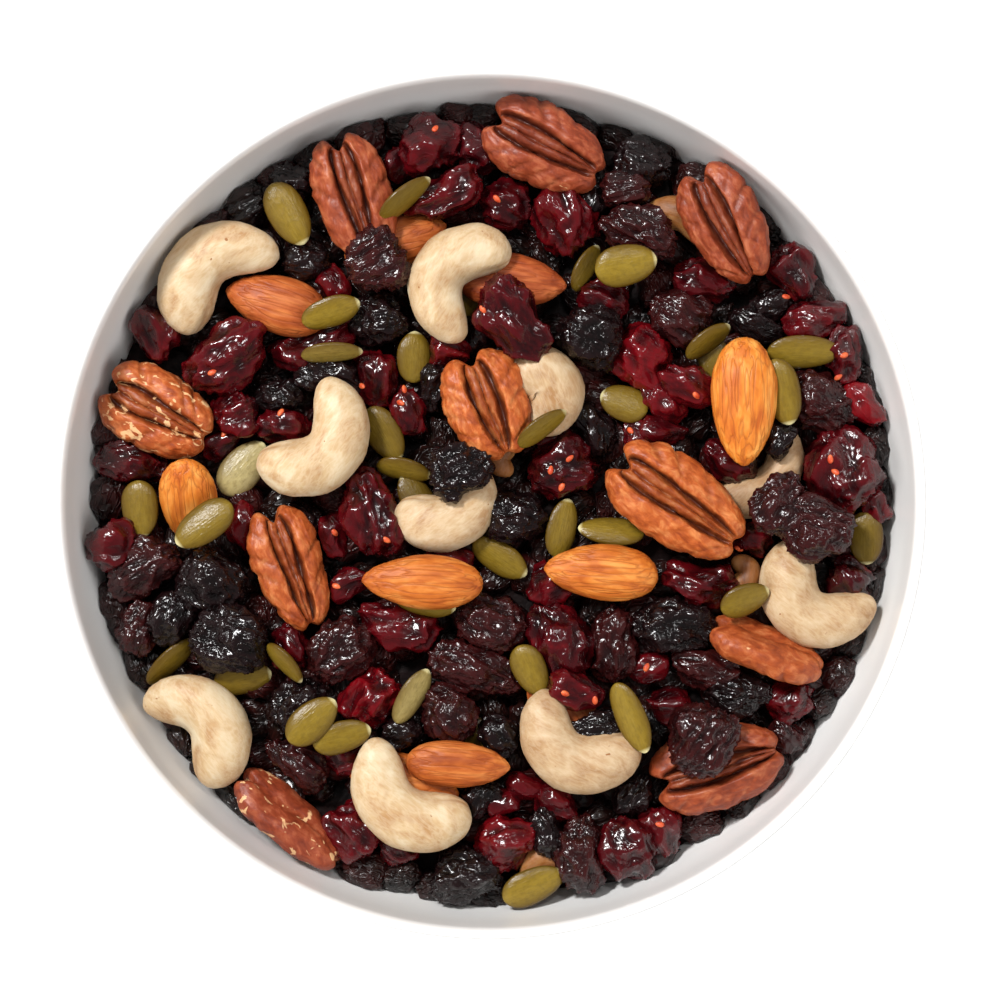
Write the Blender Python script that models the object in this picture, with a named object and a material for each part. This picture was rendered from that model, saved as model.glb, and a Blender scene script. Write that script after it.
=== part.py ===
"""A white porcelain bowl filled with trail mix: cashews, almonds, pecan halves, pumpkin seeds,
raisins and dried cranberries. Metres, +Z up. The origin is the centre of the foot ring's
standing face.
"""

import math
import random
from collections import namedtuple

import bmesh
import bpy
import numpy as np
from mathutils import Matrix, Vector

MM = 0.001

# Bowl. Its inside and outside are both super-ellipses turned about Z, with one shared centre
# height, so that the wall leans out a little where the rim cuts it.
RIM_RADIUS = 87 * MM
BOWL_HEIGHT = 62 * MM
CURVE_CENTRE = 63 * MM
CURVE_POWER = 2.7
BELLY_BOTTOM = 2.6 * MM
FLOOR_THICKNESS = 4.5 * MM
RIM_THICKNESS = 2.2 * MM
FOOT_RADIUS = 36 * MM
FOOT_WIDTH = 4.0 * MM
FOOT_EDGE = 0.7 * MM
FOOT_FILLET = 1.6 * MM
LIP_EDGE = 0.7 * MM
LIP_DEPTH = 3.0 * MM
LIP_SETTLE = 0.8 * MM
LIP_FACETS = 3
BOWL_SEGMENTS = 56
OUTER_RINGS = 8
INNER_RINGS = 12

# Heap
REST_LEVEL = 43 * MM
CORE_TOP = 43.5 * MM
CORE_DOME = 1.5 * MM
WALL_GAP = 0.5 * MM
PIECE_GAP = 0.55 * MM
HEAP_TOP = BOWL_HEIGHT - 6.6 * MM
CORE_SEGMENTS = 32
NESTLE = 0.65
WALL_PUSHES = 3
FIELD_CELL = 1.0 * MM
FIELD_REACH = 0.9
SMALLEST_DEEP = 12 * MM
SEED_OF_LUMPS = 7

# The plan: the bowl seen from above. Plan units run right and down, and the rim is a circle of
# PLAN_RIM units about PLAN_CENTRE. It is drawn from an eye EYE_HEIGHT above the rim, so what lies
# deeper stands a little further out than the plan shows.
PLAN_CENTRE = (490, 503)
PLAN_RIM = 437
PLAN_UNIT = RIM_RADIUS / PLAN_RIM
EYE_HEIGHT = 600 * MM

# In every list below a row starts with its layer, 0 the deepest, and its centre on the plan.
# Lengths are in millimetres. Turns are degrees anticlockwise from the right, seen from above.
# Pitch lowers the end that the turn points to, and roll tips the piece about its length.

# Cashews: layer, plan x, plan y, length, turn of the curved back, wide end (1 lies clockwise of
# the back), bend of the whole nut in degrees
CASHEWS = [
    (2, 216, 275, 27.0, 130, -1, 104),
    (3, 453, 270, 26.0, 150, 1, 108),
    (3, 320, 450, 27.0, -39, 1, 112),
    (2, 455, 510, 22.6, -57, 1, 108),
    (3, 574, 752, 26.0, -120, -1, 100),
    (3, 401, 810, 27.4, -129, -1, 88),
    (2, 205, 723, 25.0, 39, 1, 110),
    (2, 818, 604, 25.4, -129, 1, 104),
    (1, 538, 378, 23.0, 70, -1, 100),
    (0, 674, 214, 23.0, 60, 1, 100),
    (0, 766, 481, 25.0, -48, 1, 90),
    (0, 741, 572, 20.0, 0, 1, 96),
    (0, 176, 362, 22.0, 100, -1, 96),
    (0, 532, 861, 21.0, 110, 1, 100),
]

# Almonds: layer, plan x, plan y, length, width, turn of the tip, pitch
ALMONDS = [
    (2, 277, 304, 21.8, 11.8, 164, 0),
    (1, 511, 281, 22.6, 11.4, -5, 0),
    (4, 744, 402, 26.2, 13.4, -90, 0),
    (3, 422, 582, 24.4, 11.0, 178, 0),
    (3, 601, 572, 23.2, 11.6, 176, 0),
    (2, 458, 764, 21.2, 9.4, -4, 0),
    (1, 404, 781, 23.0, 11.0, -15, 0),
    (2, 189, 503, 22.0, 11.8, -88, 38),
    (0, 396, 243, 22.0, 11.0, 20, 0),
    (0, 567, 712, 21.0, 11.0, -50, 0),
]

# Pecan halves: layer, plan x, plan y, length, width, turn of the pointed end, roll
PECANS = [
    (3, 543, 140, 27.0, 16.8, -28, 0),
    (2, 352, 197, 28.4, 15.4, -72, 0),
    (2, 728, 222, 26.6, 15.4, -62, 18),
    (2, 157, 412, 24.8, 16.8, -28, 0),
    (2, 290, 568, 27.2, 14.4, -70, -12),
    (3, 676, 501, 33.0, 17.6, -35, 0),
    (2, 488, 404, 22.8, 17.2, -68, 0),
    (2, 767, 648, 25.6, 14.0, -22, 118),
    (2, 718, 766, 28.4, 16.8, 17, 0),
    (2, 289, 819, 28.0, 12.4, -42, 130),
]

# Pumpkin seeds: layer, plan x, plan y, length, width, turn of the tip, roll
PUMPKIN_SEEDS = [
    (3, 288, 214, 14.0, 8.4, -62, 0),
    (3, 405, 198, 13.0, 7.5, 38, 62),
    (3, 626, 265, 12.8, 8.8, 12, 10),
    (1, 586, 268, 10.5, 7.5, 62, 60),
    (3, 331, 312, 12.5, 7.0, 20, 30),
    (3, 332, 353, 12.6, 7.5, 4, 64),
    (2, 414, 357, 10.6, 7.4, 88, 15),
    (1, 384, 434, 12.5, 7.6, -60, 10),
    (2, 404, 470, 11.5, 7.5, -12, 55),
    (1, 416, 497, 10.5, 7.2, 120, 15),
    (3, 245, 468, 13.0, 7.4, 50, 0),
    (2, 140, 509, 11.8, 8.0, -86, 5),
    (4, 204, 524, 13.8, 7.4, 216, 15),
    (1, 171, 661, 13.2, 7.5, 46, 58),
    (3, 285, 663, 10.4, 7.2, -50, 62),
    (1, 243, 678, 12.0, 7.5, 10, 20),
    (4, 312, 721, 12.6, 7.8, 42, 5),
    (3, 342, 737, 12.2, 7.2, 16, 15),
    (3, 412, 696, 12.8, 6.4, 60, 35),
    (2, 498, 557, 13.0, 7.0, -32, 15),
    (2, 562, 528, 12.4, 6.8, 78, 20),
    (2, 611, 531, 13.6, 6.6, 174, 30),
    (3, 542, 428, 12.0, 7.2, 36, 58),
    (2, 624, 403, 10.2, 7.8, 160, 10),
    (2, 708, 341, 11.0, 7.2, 38, 55),
    (3, 804, 352, 15.2, 7.4, 0, 25),
    (3, 782, 392, 13.8, 8.0, -76, 10),
    (1, 716, 366, 12.0, 7.5, -80, 10),
    (2, 866, 538, 11.0, 7.4, -88, 10),
    (2, 745, 600, 10.6, 7.4, 22, 30),
    (3, 631, 718, 15.4, 7.0, -66, 25),
    (1, 530, 670, 11.0, 7.4, -65, 10),
    (2, 533, 886, 13.4, 7.8, 24, 10),
    (0, 482, 737, 10.0, 7.4, -30, 10),
    (2, 425, 601, 13.0, 7.4, -12, 30),
    (0, 468, 297, 10.0, 7.0, 60, 20),
]

# Dried cranberries: layer, plan x, plan y, length, width, turn
CRANBERRIES = [
    (1, 436, 147, 14.5, 11.0, 15),
    (0, 478, 152, 11.0, 9.0, -10),
    (3, 446, 193, 17.0, 8.6, 28),
    (1, 396, 165, 7.0, 6.0, 60),
    (1, 505, 205, 11.0, 9.0, -20),
    (2, 563, 217, 15.5, 12.0, -62),
    (3, 514, 320, 19.0, 11.0, -52),
    (1, 448, 350, 9.0, 6.5, -10),
    (2, 642, 360, 14.0, 10.5, -35),
    (2, 664, 395, 11.0, 8.0, -50),
    (2, 688, 384, 11.5, 7.5, -22),
    (1, 666, 431, 10.0, 5.6, -5),
    (1, 636, 432, 7.0, 5.6, -40),
    (2, 563, 470, 13.5, 12.2, 10),
    (1, 552, 437, 8.0, 6.0, 30),
    (2, 378, 380, 12.0, 8.0, -80),
    (2, 408, 412, 10.5, 6.8, -65),
    (2, 312, 345, 18.5, 7.5, 18),
    (2, 334, 284, 8.6, 5.8, -52),
    (1, 157, 333, 12.0, 8.5, -70),
    (2, 227, 355, 18.0, 12.0, 38),
    (2, 235, 414, 10.0, 9.5, 30),
    (1, 221, 440, 8.6, 7.0, 40),
    (2, 287, 428, 12.0, 7.0, -12),
    (1, 132, 463, 15.5, 8.6, -10),
    (1, 243, 525, 10.0, 6.4, -80),
    (1, 104, 543, 10.0, 9.4, 0),
    (2, 372, 515, 18.0, 10.6, -74),
    (1, 333, 535, 10.0, 5.6, -75),
    (1, 349, 583, 8.6, 5.6, 30),
    (2, 401, 624, 16.0, 9.4, -10),
    (2, 372, 697, 12.4, 11.2, 60),
    (1, 345, 757, 8.0, 6.6, 10),
    (2, 557, 645, 17.2, 11.2, -72),
    (1, 547, 588, 9.0, 8.0, 30),
    (2, 699, 580, 15.5, 8.4, -6),
    (1, 650, 668, 8.6, 5.6, 30),
    (2, 792, 702, 9.6, 8.6, 40),
    (1, 667, 705, 9.0, 6.6, 0),
    (1, 752, 537, 8.0, 7.0, -20),
    (2, 840, 470, 17.5, 14.5, -70),
    (2, 869, 404, 11.5, 5.8, -50),
    (2, 856, 350, 12.0, 8.0, -80),
    (2, 815, 319, 13.4, 8.0, 8),
    (2, 801, 270, 12.0, 8.8, -62),
    (1, 731, 462, 11.5, 7.6, -20),
    (1, 850, 580, 9.6, 8.6, -50),
    (1, 887, 508, 8.6, 5.2, -62),
    (2, 660, 832, 10.6, 8.2, -70),
    (2, 624, 847, 12.8, 10.4, -60),
    (2, 508, 843, 11.6, 10.8, 20),
    (1, 503, 802, 8.0, 5.6, 20),
    (2, 556, 802, 9.6, 7.2, -20),
    (1, 525, 785, 8.0, 5.6, -20),
    (1, 397, 849, 9.0, 5.6, -25),
    (2, 352, 830, 12.0, 9.8, -45),
    (2, 575, 690, 11.5, 7.0, -10),
    (1, 452, 560, 9.6, 6.0, -20),
]

# Raisins: layer, plan x, plan y, length, width, turn
RAISINS = [
    (2, 643, 163, 11.8, 9.8, -20),
    (2, 624, 189, 9.2, 7.8, 10),
    (2, 638, 230, 15.8, 9.6, -22),
    (0, 592, 200, 7.0, 6.0, 60),
    (1, 706, 280, 12.4, 8.8, -15),
    (2, 680, 317, 13.5, 10.4, -30),
    (1, 605, 301, 10.2, 7.8, -15),
    (2, 588, 338, 13.6, 12.4, -20),
    (0, 477, 335, 8.6, 7.0, -60),
    (2, 593, 428, 12.2, 7.0, -62),
    (3, 461, 470, 12.6, 10.8, 25),
    (2, 511, 517, 13.2, 9.8, -10),
    (1, 438, 388, 9.6, 8.0, 60),
    (2, 330, 378, 13.6, 7.4, -10),
    (2, 379, 320, 11.6, 9.8, -10),
    (3, 374, 262, 13.0, 11.6, 30),
    (2, 306, 259, 10.0, 7.6, 10),
    (1, 291, 183, 9.0, 8.0, -30),
    (1, 248, 211, 8.6, 6.0, 30),
    (1, 281, 395, 11.0, 6.4, 5),
    (2, 143, 567, 15.4, 10.2, 32),
    (2, 213, 581, 14.0, 12.6, -25),
    (2, 229, 641, 15.6, 13.2, -10),
    (1, 139, 626, 11.8, 8.0, 70),
    (1, 174, 618, 10.6, 8.4, 60),
    (1, 302, 520, 8.0, 7.0, 0),
    (1, 291, 646, 9.4, 8.6, -60),
    (2, 339, 649, 13.6, 12.0, 50),
    (2, 298, 706, 13.0, 9.2, 30),
    (2, 296, 764, 14.8, 7.6, -42),
    (1, 401, 735, 8.2, 7.0, 20),
    (2, 449, 713, 12.0, 11.0, -35),
    (2, 492, 623, 15.0, 10.6, -15),
    (2, 474, 668, 20.0, 9.4, -18),
    (1, 500, 735, 9.0, 7.6, -30),
    (2, 611, 643, 15.2, 9.0, -86),
    (2, 672, 627, 16.4, 10.8, -8),
    (2, 706, 667, 13.6, 7.2, -12),
    (1, 738, 693, 14.2, 8.0, -10),
    (3, 702, 741, 14.8, 13.0, 60),
    (3, 779, 503, 13.0, 11.4, 50),
    (3, 818, 527, 14.8, 12.0, -15),
    (2, 822, 402, 15.4, 11.0, -20),
    (1, 757, 325, 11.6, 5.8, -22),
    (1, 772, 304, 9.0, 6.0, 20),
    (1, 781, 440, 8.0, 6.0, 60),
    (1, 787, 735, 8.0, 6.4, -40),
    (2, 582, 856, 16.0, 9.6, -82),
    (1, 545, 833, 10.4, 6.6, -75),
    (1, 481, 798, 8.4, 6.6, 60),
    (2, 462, 878, 13.8, 10.4, 10),
    (1, 596, 727, 11.0, 6.6, 10),
    (1, 633, 795, 9.4, 7.2, 60),
]

# Thickness as a share of the width, or of the length for a cashew
CASHEW_THICKNESS = 0.34
ALMOND_THICKNESS = 0.62
PECAN_THICKNESS = 0.56
SEED_THICKNESS = 0.34
FRUIT_THICKNESS = 0.78

# Shapes. A piece's ends are (blunt power, sharp power), as tapered() reads them.
FRUIT_LUMP = 0.09
ALMOND_ENDS = (0.5, 0.62)
SEED_ENDS = (0.5, 0.55)
CASHEW_WIDTH = 0.40
CASHEW_SWELL = 0.14
CASHEW_PATH = 1.22
CASHEW_HEIGHT = 0.72
CASHEW_CROOK = 2.0
CASHEW_STEPS = 41
PECAN_GROOVE = 0.27
PECAN_GROOVE_DEPTH = 0.42
PECAN_NARROWING = 0.12
PECAN_ENDS = (2.6, 0.55)
PECAN_LOBE = (0.68, 0.8)
PECAN_RIDGE = 0.9
PECAN_UNDERSIDE = (0.5, -0.7)

# Rings of a skin as shares of the piece's length, and the sides of each ring
FRUIT_SKIN = ((0.2, 0.5, 0.8), 6)
ALMOND_SKIN = ((0.1, 0.36, 0.66, 0.9), 7)
SEED_SKIN = ((0.2, 0.75), 6)
PECAN_STATIONS = (0.08, 0.3, 0.6, 0.9)
CASHEW_SKIN = ((0.05, 0.24, 0.42, 0.58, 0.76, 0.95), 6)
CORE_RINGS = 6
CORE_TOP_SHARES = (0.66, 0.33, 0)
SHARP_EDGE = math.radians(40)

Piece = namedtuple("Piece", "layer x y size turn pitch roll mesh")


def wall_radius(z, radius, bottom):
    """Radius at height z of a super-ellipse of that largest radius that reaches down to bottom."""
    depth = max(0.0, (CURVE_CENTRE - z) / (CURVE_CENTRE - bottom))
    return radius * max(0.0, 1 - depth**CURVE_POWER) ** (1 / CURVE_POWER)


def wall_height(r, radius, bottom):
    """Height of the same super-ellipse at distance r from the axis."""
    share = max(0.0, 1 - (r / radius) ** CURVE_POWER) ** (1 / CURVE_POWER)
    return CURVE_CENTRE - (CURVE_CENTRE - bottom) * share


def largest_radius(rim_radius, bottom):
    """The super-ellipse's own radius, so that it passes the rim at rim_radius."""
    return rim_radius / wall_radius(BOWL_HEIGHT, 1.0, bottom)


INNER_BOTTOM = BELLY_BOTTOM + FLOOR_THICKNESS
OUTER = (largest_radius(RIM_RADIUS, BELLY_BOTTOM), BELLY_BOTTOM)
INNER = (largest_radius(RIM_RADIUS - RIM_THICKNESS, INNER_BOTTOM), INNER_BOTTOM)


def clear_scene():
    for found in list(bpy.data.objects):
        bpy.data.objects.remove(found)


def material(name, colour, roughness):
    made = bpy.data.materials.new(name)
    made.use_nodes = True
    shader = made.node_tree.nodes["Principled BSDF"]
    shader.inputs["Base Color"].default_value = (*colour, 1)
    shader.inputs["Roughness"].default_value = roughness
    shader.inputs["Metallic"].default_value = 0
    return made


def add_object(name, bm, finish=None):
    mesh = bpy.data.meshes.new(name)
    bm.to_mesh(mesh)
    bm.free()
    made = bpy.data.objects.new(name, mesh)
    bpy.context.scene.collection.objects.link(made)
    if finish:
        mesh.materials.append(finish)
    return made


def turned(profile, segments):
    """A closed solid from a profile of (radius, height) points that starts and ends on Z."""
    bm = bmesh.new()
    points = [bm.verts.new((r, 0, z)) for r, z in profile]
    edges = [bm.edges.new(pair) for pair in zip(points, points[1:])]
    bmesh.ops.spin(
        bm,
        geom=points + edges,
        cent=(0, 0, 0),
        axis=(0, 0, 1),
        angle=2 * math.pi,
        steps=segments,
    )
    bmesh.ops.remove_doubles(bm, verts=bm.verts, dist=1e-6)
    bmesh.ops.recalc_face_normals(bm, faces=bm.faces)
    return bm


def foot_profile():
    """From the middle of the underside, down round the foot ring and up to the belly."""
    inside = FOOT_RADIUS - FOOT_WIDTH
    recess = [(r, wall_height(r, *OUTER)) for r in np.linspace(0, inside - FOOT_FILLET, 3)]
    root = wall_height(inside, *OUTER) - FOOT_FILLET
    ring = [
        (inside, root),
        (inside, FOOT_EDGE),
        (inside + FOOT_EDGE, 0),
        (FOOT_RADIUS - FOOT_EDGE, 0),
        (FOOT_RADIUS, FOOT_EDGE),
        (FOOT_RADIUS, wall_height(FOOT_RADIUS, *OUTER) - FOOT_FILLET),
    ]
    return recess + ring


def lip_profile():
    """The rim's top, from a tight outer edge over to a long soft inner one."""
    crown, inward = RIM_RADIUS - LIP_EDGE, RIM_THICKNESS - LIP_EDGE
    base = BOWL_HEIGHT - LIP_EDGE
    angles = np.linspace(0, math.pi / 2, LIP_FACETS + 1)
    outer = [(crown + LIP_EDGE * math.cos(a), base + LIP_EDGE * math.sin(a)) for a in angles]
    low = BOWL_HEIGHT - LIP_DEPTH
    inner = [(crown - inward * math.sin(a), low + LIP_DEPTH * math.cos(a)) for a in angles[1:]]
    return outer + inner


def wall_profile(start, radius, bottom, rings, lip_depth):
    """Evenly spread points of a super-ellipse, from distance start off the axis to the lip."""
    lip_start = BOWL_HEIGHT - lip_depth - LIP_SETTLE
    first = math.asin((start / radius) ** (CURVE_POWER / 2))
    depth = (CURVE_CENTRE - lip_start) / (CURVE_CENTRE - bottom)
    last = math.acos(depth ** (CURVE_POWER / 2))
    radii = [radius * math.sin(a) ** (2 / CURVE_POWER) for a in np.linspace(first, last, rings)]
    return [(r, wall_height(r, radius, bottom)) for r in radii]


def build_bowl():
    outer = wall_profile(FOOT_RADIUS + FOOT_FILLET, *OUTER, OUTER_RINGS, LIP_EDGE)
    inner = wall_profile(0.0, *INNER, INNER_RINGS, LIP_DEPTH)
    profile = foot_profile() + outer + lip_profile() + inner[::-1]
    glaze = material("white_glaze", (0.86, 0.86, 0.85), 0.12)
    bowl = add_object("bowl", turned(profile, BOWL_SEGMENTS), glaze)
    bowl.data.shade_smooth()
    bowl.data.set_sharp_from_angle(angle=SHARP_EDGE)
    return bowl


def build_core():
    """What the hidden pieces fill: the inside of the bowl up to a low dome."""
    radius, bottom = INNER[0] - WALL_GAP, INNER[1] + WALL_GAP
    edge = wall_radius(CORE_TOP, radius, bottom)
    under = [(r, wall_height(r, radius, bottom)) for r in np.linspace(0, edge, CORE_RINGS)]
    shares = CORE_TOP_SHARES
    top = [(edge * share, CORE_TOP + CORE_DOME * (1 - share**2)) for share in shares]
    return add_object("core", turned(under + top, CORE_SEGMENTS))


def lofted(stations, sides, point):
    """A closed skin: one ring of sides points for each station, and a pole at either end.
    point(s, side) gives a position, with s from 0 to 1 along the piece."""
    rings = [[Vector(point(s, k / sides)) for k in range(sides)] for s in stations]
    poles = [Vector(point(0.0, 0.0)), Vector(point(1.0, 0.0))]
    verts = [v for ring in rings for v in ring] + poles
    first_pole, last_pole = len(verts) - 2, len(verts) - 1
    faces = []
    for k in range(sides):
        n = (k + 1) % sides
        faces.append((first_pole, n, k))
        for row in range(len(rings) - 1):
            a, b = row * sides, (row + 1) * sides
            faces.append((a + k, a + n, b + n, b + k))
        end = (len(rings) - 1) * sides
        faces.append((last_pole, end + k, end + n))
    return verts, faces


def tapered(s, blunt, sharp):
    """A width along a piece that is 0 at both ends and 1 where it is widest. The smaller an
    end's power, the blunter that end."""
    widest = blunt / (blunt + sharp)
    peak = widest**blunt * (1 - widest) ** sharp
    return s**blunt * (1 - s) ** sharp / peak


def fruit_mesh(length, width, thickness, draw):
    """A shrunken berry: an ellipsoid whose radius swells and sinks in a few soft lumps."""
    waves = [(draw.randint(1, 3), draw.random(), draw.uniform(0.5, 1.0)) for _ in range(3)]

    def point(s, side):
        angle, along = 2 * math.pi * side, math.pi * s
        lump = sum(a * math.sin(n * angle + 2 * math.pi * p + 3 * along) for n, p, a in waves)
        around = math.sin(along) * (1 + FRUIT_LUMP * lump)
        x = -length / 2 * math.cos(along)
        return x, width / 2 * around * math.cos(angle), thickness / 2 * around * math.sin(angle)

    return lofted(*FRUIT_SKIN, point)


def almond_mesh(length, width, thickness):
    """Widest a little nearer the round end, and drawn out to the tip at +X."""

    def point(s, side):
        angle = 2 * math.pi * side
        around = tapered(s, *ALMOND_ENDS)
        y, z = width / 2 * around * math.cos(angle), thickness / 2 * around * math.sin(angle)
        return length * (s - 0.5), y, z

    return lofted(*ALMOND_SKIN, point)


def seed_mesh(length, width, thickness):
    """A flat seed with its tip at +X."""

    def point(s, side):
        angle = 2 * math.pi * side
        around = tapered(s, *SEED_ENDS)
        y, z = width / 2 * around * math.cos(angle), thickness / 2 * around * math.sin(angle)
        return length * (s - 0.5), y, z

    return lofted(*SEED_SKIN, point)


def pecan_mesh(length, width, thickness):
    """A pecan half, rounded back up: two deep grooves run along it on both sides of a ridge."""
    groove, low = PECAN_GROOVE, 1 - PECAN_GROOVE_DEPTH
    right = [(1, 0), PECAN_LOBE, (groove, low)]
    left = [(-across, height) for across, height in reversed(right)]
    under, bottom = PECAN_UNDERSIDE
    section = right + [(0, PECAN_RIDGE)] + left + [(-under, bottom), (under, bottom)]

    def point(s, side):
        u = 2 * s - 1
        around = max(0.0, 1 - abs(u) ** PECAN_ENDS[0]) ** PECAN_ENDS[1]
        across, height = section[round(side * len(section)) % len(section)]
        y = width / 2 * around * (1 - PECAN_NARROWING * u) * across
        return length / 2 * u, y, thickness / 2 * around * height

    return lofted(PECAN_STATIONS, len(section), point)


def cashew_path(bend):
    """The curved middle line as points, from the wide end to the narrow one, 1 long."""
    steps = np.linspace(-1, 1, CASHEW_STEPS)
    crook = np.tanh(CASHEW_CROOK * steps) / math.tanh(CASHEW_CROOK)
    angle = -math.radians(bend) / 2 * crook
    x = np.concatenate([[0], np.cumsum(np.cos((angle[1:] + angle[:-1]) / 2))])
    y = np.concatenate([[0], np.cumsum(np.sin((angle[1:] + angle[:-1]) / 2))])
    return steps, angle, x / (len(steps) - 1), y / (len(steps) - 1)


def cashew_mesh(length, thickness, bend, wide_end):
    """A kidney-shaped nut in the XY plane: its back faces +Y and its notch -Y."""
    steps, angle, path_x, path_y = cashew_path(bend)
    long, half = length * CASHEW_PATH, length * CASHEW_WIDTH / 2

    def point(s, side):
        u, turn = 2 * s - 1, 2 * math.pi * side
        at_x, at_y = np.interp(u, steps, path_x), np.interp(u, steps, path_y)
        heading = np.interp(u, steps, angle)
        around = max(0.0, 1 - abs(u) ** 3) ** 0.5 * (1 + CASHEW_SWELL * u * wide_end)
        out = half * around * math.cos(turn)
        x = long * at_x - out * math.sin(heading)
        return x, long * at_y + out * math.cos(heading), thickness / 2 * around * math.sin(turn)

    verts, faces = lofted(*CASHEW_SKIN, point)
    low = Vector([min(v[i] for v in verts) for i in range(3)])
    high = Vector([max(v[i] for v in verts) for i in range(3)])
    scale = length / (high.x - low.x)
    squeeze = CASHEW_HEIGHT * length / (high.y - low.y)
    middle = (low + high) / 2
    verts = [Vector(((v.x - middle.x) * scale, (v.y - middle.y) * squeeze, v.z)) for v in verts]
    return verts, faces


def listed_pieces():
    """Every piece of the lists above, with its mesh."""
    draw = random.Random(SEED_OF_LUMPS)
    pieces = []
    for layer, x, y, length, back, wide_end, bend in CASHEWS:
        size = (length * MM, CASHEW_HEIGHT * length * MM, CASHEW_THICKNESS * length * MM)
        mesh = cashew_mesh(size[0], size[2], bend, wide_end)
        pieces.append(Piece(layer, x, y, size, back - 90, 0, 0, mesh))
    for layer, x, y, length, width, turn, pitch in ALMONDS:
        size = (length * MM, width * MM, ALMOND_THICKNESS * width * MM)
        pieces.append(Piece(layer, x, y, size, turn, pitch, 0, almond_mesh(*size)))
    for layer, x, y, length, width, turn, roll in PECANS:
        size = (length * MM, width * MM, PECAN_THICKNESS * width * MM)
        pieces.append(Piece(layer, x, y, size, turn, 0, roll, pecan_mesh(*size)))
    for layer, x, y, length, width, turn, roll in PUMPKIN_SEEDS:
        size = (length * MM, width * MM, SEED_THICKNESS * width * MM)
        pieces.append(Piece(layer, x, y, size, turn, 0, roll, seed_mesh(*size)))
    for layer, x, y, length, width, turn in CRANBERRIES + RAISINS:
        size = (length * MM, width * MM, FRUIT_THICKNESS * width * MM)
        pieces.append(Piece(layer, x, y, size, turn, 0, 0, fruit_mesh(*size, draw)))
    return pieces


def showing(pieces):
    """Those of which enough can be seen from above, the deepest first."""
    deep = [p for p in pieces if p.layer == 1 and p.size[0] > SMALLEST_DEEP]
    return deep + sorted([p for p in pieces if p.layer > 1], key=lambda piece: piece.layer)


def half_extents(piece):
    """Half the piece's reach along its turn, across it and upwards, as a tilted ellipsoid."""
    length, width, thickness = (side / 2 for side in piece.size)
    pitch, roll = math.radians(piece.pitch), math.radians(piece.roll)
    along = math.hypot(length * math.cos(pitch), thickness * math.sin(pitch))
    across = math.hypot(width * math.cos(roll), thickness * math.sin(roll))
    side_up = math.hypot(width * math.sin(roll), thickness * math.cos(roll))
    up = math.hypot(length * math.sin(pitch), side_up * math.cos(pitch))
    return along, across, up


def settled_heights(pieces):
    """The height of each piece's centre. A height field starts level, and each piece comes down
    on it until NESTLE of its underside has met what lies there."""
    reach = np.arange(-RIM_RADIUS, RIM_RADIUS, FIELD_CELL)
    grid_x, grid_y = np.meshgrid(reach, reach)
    field = np.full(grid_x.shape, REST_LEVEL)
    heights = []
    for piece in pieces:
        along, across, up = half_extents(piece)
        turn = math.radians(piece.turn)
        off_x = grid_x - (piece.x - PLAN_CENTRE[0]) * PLAN_UNIT
        off_y = grid_y + (piece.y - PLAN_CENTRE[1]) * PLAN_UNIT
        u = (off_x * math.cos(turn) + off_y * math.sin(turn)) / along
        v = (off_y * math.cos(turn) - off_x * math.sin(turn)) / across
        under = u**2 + v**2 < FIELD_REACH
        cap = up * np.sqrt(1 - (u**2 + v**2)[under])
        height = float(np.quantile(field[under] + cap, NESTLE))
        height = min(height, HEAP_TOP - up)
        field[under] = np.maximum(field[under], height + cap)
        heights.append(height)
    return heights


def past_wall(verts):
    """How far the furthest of these points reaches past the space inside the wall."""
    room = (INNER[0] - PIECE_GAP, INNER[1] + PIECE_GAP)
    return max(0.0, max(vert.xy.length - wall_radius(vert.z, *room) for vert in verts))


def placed(piece, height):
    """The piece's mesh where it lies, held clear of the bowl's wall."""
    depth = 1 + (BOWL_HEIGHT - height) / EYE_HEIGHT
    x = (piece.x - PLAN_CENTRE[0]) * PLAN_UNIT * depth
    y = -(piece.y - PLAN_CENTRE[1]) * PLAN_UNIT * depth
    verts, faces = piece.mesh
    turn = Matrix.Rotation(math.radians(piece.turn), 3, "Z")
    pitch = Matrix.Rotation(math.radians(piece.pitch), 3, "Y")
    roll = Matrix.Rotation(math.radians(piece.roll), 3, "X")
    pose = turn @ pitch @ roll
    verts = [pose @ vert + Vector((x, y, height)) for vert in verts]
    outward = Vector((x, y, 0)).normalized()
    for _ in range(WALL_PUSHES):
        verts = [vert - outward * past_wall(verts) for vert in verts]
    drop = max(0.0, max(vert.z for vert in verts) - HEAP_TOP)
    bm = bmesh.new()
    made = [bm.verts.new(vert - Vector((0, 0, drop))) for vert in verts]
    for face in faces:
        bm.faces.new([made[index] for index in face])
    bmesh.ops.recalc_face_normals(bm, faces=bm.faces)
    bmesh.ops.triangulate(bm, faces=bm.faces)
    return bm


def body_from(start):
    """Every vertex that edges join to this one."""
    body, waiting = {start}, [start]
    while waiting:
        vert = waiting.pop()
        joined = [edge.other_vert(vert) for edge in vert.link_edges]
        fresh = [other for other in joined if other not in body]
        body.update(fresh)
        waiting.extend(fresh)
    return body


def drop_scraps(heap):
    """Keeps the largest joined body, and so drops a loose scrap or a sealed hollow's skin."""
    bm = bmesh.new()
    bm.from_mesh(heap.data)
    left, bodies = set(bm.verts), []
    while left:
        body = body_from(next(iter(left)))
        bodies.append(body)
        left -= body
    bodies.sort(key=len)
    for body in bodies[:-1]:
        bmesh.ops.delete(bm, geom=list(body), context="VERTS")
    bm.to_mesh(heap.data)
    bm.free()


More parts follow.
